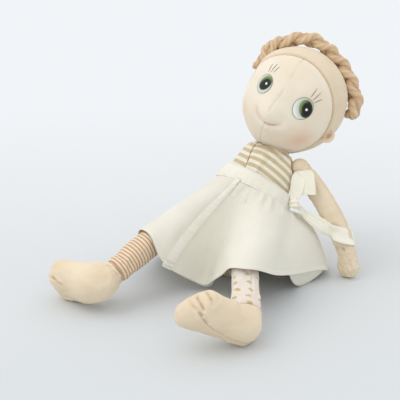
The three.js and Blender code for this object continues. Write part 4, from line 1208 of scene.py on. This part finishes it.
def thicken(piece, thickness, even=True):
    """Gives a sheet its thickness, half of it on each side"""
    on_mesh(piece, bpy.ops.mesh.normals_make_consistent, inside=False)
    wall = piece.modifiers.new("wall", "SOLIDIFY")
    wall.thickness, wall.offset, wall.use_even_offset = thickness * MM, 0.0, even
    apply_all(piece)
    smooth(piece)
    mark(piece, "crease_shade", 0)


def band_surface(u, v):
    turn = 360 * u
    puckers = 0.25 * np.sin(np.radians(turn * 31) + 2 * wave(turn * 5))
    rolled = 0.7 * (bell(v, 0.06) + bell(1 - v, 0.06))
    stitched = -0.45 * (bell(v - 0.13, 0.03) + bell(v - 0.88, 0.03))
    sag = 0.5 * wave(turn * 7 + 40) * np.sin(np.pi * v)
    away = BAND_CLEAR + 1.0 + 1.9 * v ** 1.5 + puckers * v + rolled * 0.3 + stitched + np.maximum(sag, -0.2)
    return on_torso(turn, band_line(turn) + BAND_HEIGHT * (0.5 - v) - 0.8 * v, away)


BAND_ROUND = 2 * math.pi * WAIST_RADIUS * MM
band = cloth_grid("waistband_sewn", 300, 26, band_surface, (BAND_ROUND, BAND_HEIGHT * MM), ring=True)
band_look = finish_cotton("waistband_cotton", dye(238, 235, 223), dye(226, 222, 207))
thicken(band, BAND_THICK)
dress(band, band_look, "torso", "cotton", "waistband")


# The skirt is a length of cream cotton in two panels sewn together at the back, gathered under the
# waistband and wrapped past its own start. It falls over both legs and lies on the floor behind.
SKIRT_REACH, WRAP_START, WRAP_TURN, WRAP_SKEW = 80, 8, 388, 12
LAP_RISE, COVER_CLEAR, COTTON_THICK = 2.4, 2.6, 0.7
# Its hem: degrees round from the front, and across, back and up as shares of the skirt's reach
HEM = (
    (-180, 0, 0.95, 0.02), (-150, -0.475, 0.82, 0.02), (-125, -0.79, 0.55, 0.02),
    (-100, -0.96, 0.17, 0.05), (-80, -0.985, -0.17, 0.175), (-65, -0.94, -0.44, 0.3),
    (-52, -0.84, -0.65, 0.41), (-40, -0.65, -0.985, 0.64), (-33, -0.53, -1.0, 0.7),
    (-26, -0.335, -1.1, 0.59), (-22, -0.32, -1.08, 0.45), (-18, -0.275, -0.95, 0.33),
    (-14, -0.225, -0.82, 0.23), (-9, -0.12, -0.62, 0.08), (-3, -0.03, -0.575, 0.02),
    (6, 0.065, -0.62, 0.1), (15, 0.21, -0.8, 0.25), (24, 0.45, -1.0, 0.44), (29, 0.59, -1.06, 0.53),
    (34.5, 0.715, -1.04, 0.59), (41, 0.8, -0.925, 0.54), (48, 0.845, -0.76, 0.44),
    (61, 0.83, -0.46, 0.31), (84, 0.86, -0.09, 0.19), (101, 0.93, 0.18, 0.15),
    (112, 0.985, 0.4, 0.075), (125, 0.86, 0.6, 0.025), (150, 0.49, 0.84, 0.02),
    (180, 0, 0.95, 0.02),
)
hem_turns = np.array([row[0] for row in HEM], dtype=float)
HEM_STEPS = 40
hem_curve = curve_through([np.array(row[1:]) * SKIRT_REACH for row in HEM], (len(HEM) - 1) * HEM_STEPS + 1)


def hem_at(turn):
    """The hem's places at degrees round from the front"""
    wrapped = (turn + 180) % 360 - 180
    share = np.interp(wrapped, hem_turns, np.arange(len(HEM))) * HEM_STEPS
    return place_at(share, np.arange(len(hem_curve)), hem_curve)


def over_legs(point, away):
    """Cloth that would pass through a leg lies over it"""
    radius = LEG_RADIUS + COVER_CLEAR + away
    for word in ("right", "left"):
        line = curve_through(LEG_ENDS[word], 25)
        for start, end in zip(line, line[1:]):
            run = end - start
            span = math.hypot(run[0], run[1])
            part = ((point[:, 0] - start[0]) * run[0] + (point[:, 1] - start[1]) * run[1]) / span ** 2
            beside = np.abs((point[:, 0] - start[0]) * run[1] - (point[:, 1] - start[1]) * run[0]) / span
            lift = start[2] + part * run[2] + math.hypot(1, run[2] / span) * np.sqrt(
                np.maximum(radius ** 2 - beside ** 2, 0))
            inside = (part >= 0) & (part <= 1) & (beside < radius)
            point[:, 2] = np.where(inside, np.maximum(point[:, 2], lift), point[:, 2])
    return point


def skirt_cad(u, v):
    """The skirt's middle surface, as its solid has it"""
    turn, away = WRAP_START - WRAP_TURN * u, LAP_RISE * u
    waist_turn = turn + WRAP_SKEW
    distance = band_line(waist_turn) - BAND_HEIGHT / 2 + 1.5
    waist = on_torso(waist_turn, distance, BAND_CLEAR + 0.6 + away / 2)
    hem = hem_at(turn)
    hem = hem + unit(hem * np.array((1, 1, 0))) * away[:, None]
    hem[:, 2] += away
    shoulder = waist + (hem - waist) * np.array((0.65, 0.65, 0.4))
    point = ((1 - v) ** 2)[:, None] * waist + (2 * v * (1 - v))[:, None] * shoulder + (v ** 2)[:, None] * hem
    return over_legs(point, away)


def smoothed(grid, rounds):
    """Evens out a grid of points, its edges along themselves"""
    for _ in range(rounds):
        inner = grid[1:-1, 1:-1] * 2 + grid[:-2, 1:-1] + grid[2:, 1:-1] + grid[1:-1, :-2] + grid[1:-1, 2:]
        for row in (0, -1):
            grid[row, 1:-1] = (grid[row, 1:-1] * 2 + grid[row, :-2] + grid[row, 2:]) / 4
            grid[1:-1, row] = (grid[1:-1, row] * 2 + grid[:-2, row] + grid[2:, row]) / 4
        grid[1:-1, 1:-1] = inner / 6
    return grid


def grid_normals(grid):
    """Unit normals of a grid, pointing away from the doll's middle"""
    normals = np.cross(np.gradient(grid, axis=1), np.gradient(grid, axis=0))
    normals /= np.maximum(np.linalg.norm(normals, axis=2, keepdims=True), TINY)
    side = np.sign((normals * (grid - np.array((0, 0, 40)))).sum(2, keepdims=True))
    return normals * side


SKIRT_COLUMNS, SKIRT_ROWS = 620, 110
EVEN_ROUNDS, SETTLE_ROUNDS, HEM_STITCHED, ON_FLOOR = 90, 8, 0.94, 0.5
# The hem curls under at the doll's left, and the skirt is fuller there under the knot.
CURL_TURN, CURL_WIDE, CURL_SHARE = 95, 24, 0.1
FULL_TURN, FULL_WIDE, FULL_OUT = 122, 30, 11
u, v = np.meshgrid(np.linspace(0, 1, SKIRT_COLUMNS + 1), np.linspace(0, 1, SKIRT_ROWS + 1))
turn = WRAP_START - WRAP_TURN * u
cloth = skirt_cad(u.ravel(), v.ravel()).reshape(*u.shape, 3)
top = cloth[:3].copy()
cloth = smoothed(cloth, EVEN_ROUNDS)
cloth = over_legs(cloth.reshape(-1, 3), LAP_RISE * u.ravel() - 0.8).reshape(cloth.shape)
cloth = smoothed(cloth, SETTLE_ROUNDS)
cloth[:3] = top
gathers = np.sin(np.radians(turn * 19) + 1.9 * wave(turn * 4.3)) + 0.5 * wave(turn * 31)
folds = np.sin(np.radians(turn * 7) + 2.4 * v + 1.6 * wave(turn * 2.3))
under_band = bell(v - 0.16, 0.07) * np.sin(np.radians(turn * 2.4 + 20) + 5 * v)
lift = 0.8 * gathers * bell(v - 0.1, 0.09)
lift += 1.2 * folds * np.sin(np.pi * v) ** 1.4 + 1.0 * under_band
lift += 0.35 * ripple(cloth.reshape(-1, 3), 21, 81).reshape(v.shape) * np.clip(v / 0.1, 0, 1)
hem_stitch = bell(v - HEM_STITCHED, 0.008) * (0.7 + 0.3 * wave(turn * 150))
lift += 0.3 * (v > 0.945) - 0.35 * hem_stitch + 0.3 * bell(v - 0.995, 0.01)
lift *= np.clip(v / 0.05, 0, 1)
cloth = cloth + grid_normals(cloth) * np.maximum(lift, -0.9)[:, :, None]
curl = np.clip(1 - ((turn % 360 - CURL_TURN) / CURL_WIDE) ** 2, 0, 1)
rim_at = 1 - CURL_SHARE * curl
row = np.minimum(v / rim_at, 1) * SKIRT_ROWS
above = np.clip(row.astype(int), 0, SKIRT_ROWS - 1)
column = np.arange(SKIRT_COLUMNS + 1)[None, :]
cloth = cloth[above, column] + (cloth[above + 1, column] - cloth[above, column]) * (row - above)[:, :, None]
under = np.clip((v - rim_at) / CURL_SHARE, 0, 1)
fallen = np.clip((under - 0.2) / 0.8, 0, 1)
cloth[:, :, 2] = cloth[:, :, 2] * (1 - fallen) + ON_FLOOR * fallen
outward_way = unit(cloth[:, :, :2])
full = np.sin(np.pi * np.clip((v - 0.025) / 0.975, 0, 1) ** 0.42)
full = full * FULL_OUT * bell(turn % 360 - FULL_TURN, FULL_WIDE)
cloth[:, :, :2] += outward_way * (full - 3.5 * np.minimum(under / 0.2, 1) - 2.5 * under)[:, :, None]
cloth[:, :, 2] = np.maximum(cloth[:, :, 2], ON_FLOOR)


def on_skirt(across, down):
    """The skirt's cloth at shares across and down it, and its normals there"""
    column, row = across * SKIRT_COLUMNS, down * SKIRT_ROWS
    i = np.clip(column.astype(int), 0, SKIRT_COLUMNS - 1)
    j = np.clip(row.astype(int), 0, SKIRT_ROWS - 1)
    right, low = (column - i)[:, None], (row - j)[:, None]
    normals = grid_normals(cloth)

    def blend(grid):
        upper = grid[j, i] * (1 - right) + grid[j, i + 1] * right
        return upper * (1 - low) + (grid[j + 1, i] * (1 - right) + grid[j + 1, i + 1] * right) * low
    return blend(cloth), blend(normals)


FLAT_SKIRT, BACK_SEAM = (0.5, 0.085), 300
skirt_look = finish_cotton("skirt_cotton", dye(234, 231, 219), dye(222, 219, 205))
for word, first, last in (("right", 0, BACK_SEAM), ("left", BACK_SEAM, SKIRT_COLUMNS)):
    share = (last - first) / SKIRT_COLUMNS
    flat = (FLAT_SKIRT[0] * share, FLAT_SKIRT[1])
    panel = cloth_grid(f"skirt_panel_{word}", last - first, SKIRT_ROWS,
                       lambda u, v: on_skirt(first / SKIRT_COLUMNS + u * share, v)[0], flat)
    thicken(panel, COTTON_THICK)
    dress(panel, skirt_look, None, "cotton", "skirt")
    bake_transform(panel)


# A lighter strip faces the skirt's free front edge, folded over it and stitched down on both sides.
FACING_WIDE, FACING_FLAT, FACING_SHARE, FACING_TOP = 7.5, 10.5, 0.0075, 2.2


def facing_surface(u, v):
    start = 1 - FACING_SHARE * (FACING_TOP + (1 - FACING_TOP) * v)
    point, normal = on_skirt(start + (1 - start) * u, np.minimum(v + 0.012, 1))
    stitched = bell(u - 0.12, 0.05) + bell(u - 0.88, 0.05)
    wavy = 0.3 * np.sin(v * 34 + 2 * np.sin(v * 11)) * np.sin(np.pi * u)
    lift = 0.95 + 0.35 * np.sin(np.pi * u) - 0.3 * stitched + 0.1 * np.sin(v * 140) + wavy
    return point + normal * lift[:, None]


strip = cloth_grid("facing_sewn", 20, 130, facing_surface, (FACING_WIDE * MM, FLAT_SKIRT[1]))
facing_look = finish_cotton("facing_cotton", dye(243, 240, 230), dye(231, 228, 215))
thicken(strip, COTTON_THICK)
dress(strip, facing_look, None, "cotton", "skirt_facing")
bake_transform(strip)


# The ribbon is a strip of lighter cotton: it is knotted at the doll's left side, one tail stands up
# and folds over, and the other is laid across the forearm.
KNOT = np.array((50.18, 20.2, 70.08))
RIBBON_LENGTH, RIBBON_WIDTH, RIBBON_THICK, ARM_RADIUS = 60, 13, 0.6, 8
# The standing tail's middle line, in mm to the view's right, up and towards the camera from the knot.
SHORT_TAIL = ((0.5, 1, 0), (2, 9, -0.5), (3.4, 18, -0.3), (4.8, 26, 0.4), (7.4, 29.2, 2), (10.2, 27, 3.6),
              (11.8, 19, 3.8), (12.7, 7.8, 3.4))
TAIL_WAYS = np.array(((0.866, 0.5, 0), (-0.171, 0.296, 0.940), (0.470, -0.814, 0.342)))
# The other tail's line: first from the knot, in ribbon lengths, then round the arm, each point the share
# of the arm's length that it lies at and the way out from the arm's middle, in arm radii.
LONG_TAIL = ((0.01, 0, 0), (0.1, 0.03, -0.07), (0.2, 0.09, -0.19))
ROUND_ARM = ((0.57, -0.75, -1.27, 0), (0.6, 0.37, -1.4, 0), (0.63, 1.27, -0.62, -0.12),
             (0.65, 1.47, 0.5, -0.37))
ribbon_look = finish_cotton("ribbon_cotton", dye(247, 244, 230), dye(238, 234, 216))
arm_line = np.array(ARM_LINES["left"])
arm_gone = np.linspace(0, 1, len(arm_line))


def arm_at(share):
    return place_at(share, arm_gone, arm_line)


def ribbon(name, points, wide_start, wide_end, pinch, reach, seed, body="torso", square=1):
    """A tail along a line of points, gathered at the knot by pinch over the share reach of its length; its
    width runs from wide_start to wide_end, and square at 0 leaves it slanted to the line"""
    line = curve_through(points, 200)
    gone = gone_along(line)

    def surface(u, v):
        at = v * gone[-1]
        place = place_at(at, gone, line)
        way = unit(place_at(at + 0.4, gone, line) - place_at(at - 0.4, gone, line))
        across = wide_start + (wide_end - wide_start) * v[:, None]
        across = unit(across - square * way * (across * way).sum(1)[:, None])
        normal = np.cross(across, way)
        gathered = pinch * bell(v, reach)
        width = RIBBON_WIDTH * (1.06 - 0.8 * gathered)
        crimp = 1.1 * gathered * np.sin(u * 21)
        crimp += 0.25 * np.sin(v * 17 + u * 3 + seed) + 0.2 * np.sin(u * 9 + v * 5)
        edge = 0.3 * (bell(u, 0.05) + bell(1 - u, 0.05))
        return place + across * ((u - 0.5) * width)[:, None] + normal * (crimp + edge)[:, None]

    piece = cloth_grid(name, 26, 110, surface, (RIBBON_WIDTH * MM, gone[-1] * MM))
    thicken(piece, RIBBON_THICK, even=square == 1)
    dress(piece, ribbon_look, body, "cotton")
    return piece


knot = one_skin(copy_solids("ribbon_knot_tied", "ribbon_knot"), 0.8 * MM, 3)
finer(knot)
places, normals = corners(knot), outward(knot)
spoke = places / MM - KNOT
wrap = np.sin(np.arctan2(spoke[:, 2] + 0.6 * spoke[:, 0], spoke[:, 1]) * 4 + spoke[:, 0] * 0.9)
reshape(knot, places + normals * ((0.55 * wrap - 0.2 + 0.3 * ripple(places, 5 * MM, 71)) * MM)[:, None])
map_cloth(knot, spoke[:, 1] * MM, spoke[:, 2] * MM)
# Painted shade: the troughs of the knot's folds are marked to be painted darker.
mark(knot, "crease_shade", np.clip(-wrap * 0.6, 0, 1))
smooth(knot)
dress(knot, ribbon_look, "torso", "cotton", "ribbon_knot")

wide_start, wide_end = np.array(((0.6, 0.2, 0.2), (0.84, 0, 0.54))) @ TAIL_WAYS
short = ribbon("ribbon_short", [np.array(p) @ TAIL_WAYS + KNOT for p in SHORT_TAIL], wide_start, wide_end,
               0.6, 0.13, 1, square=0)
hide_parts("ribbon_tail_short")
long_points = [np.array(p) * RIBBON_LENGTH + KNOT for p in LONG_TAIL]
long_points += [np.array(rest) * ARM_RADIUS + arm_at(down) for down, *rest in ROUND_ARM]
arm_run = unit(arm_at(ROUND_ARM[0][0]) - arm_at(ROUND_ARM[3][0]))
long = ribbon("ribbon_long", long_points, arm_run, arm_run, 0.9, 0.33, 2, body=None)
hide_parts("ribbon_tail_long")
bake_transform(long)
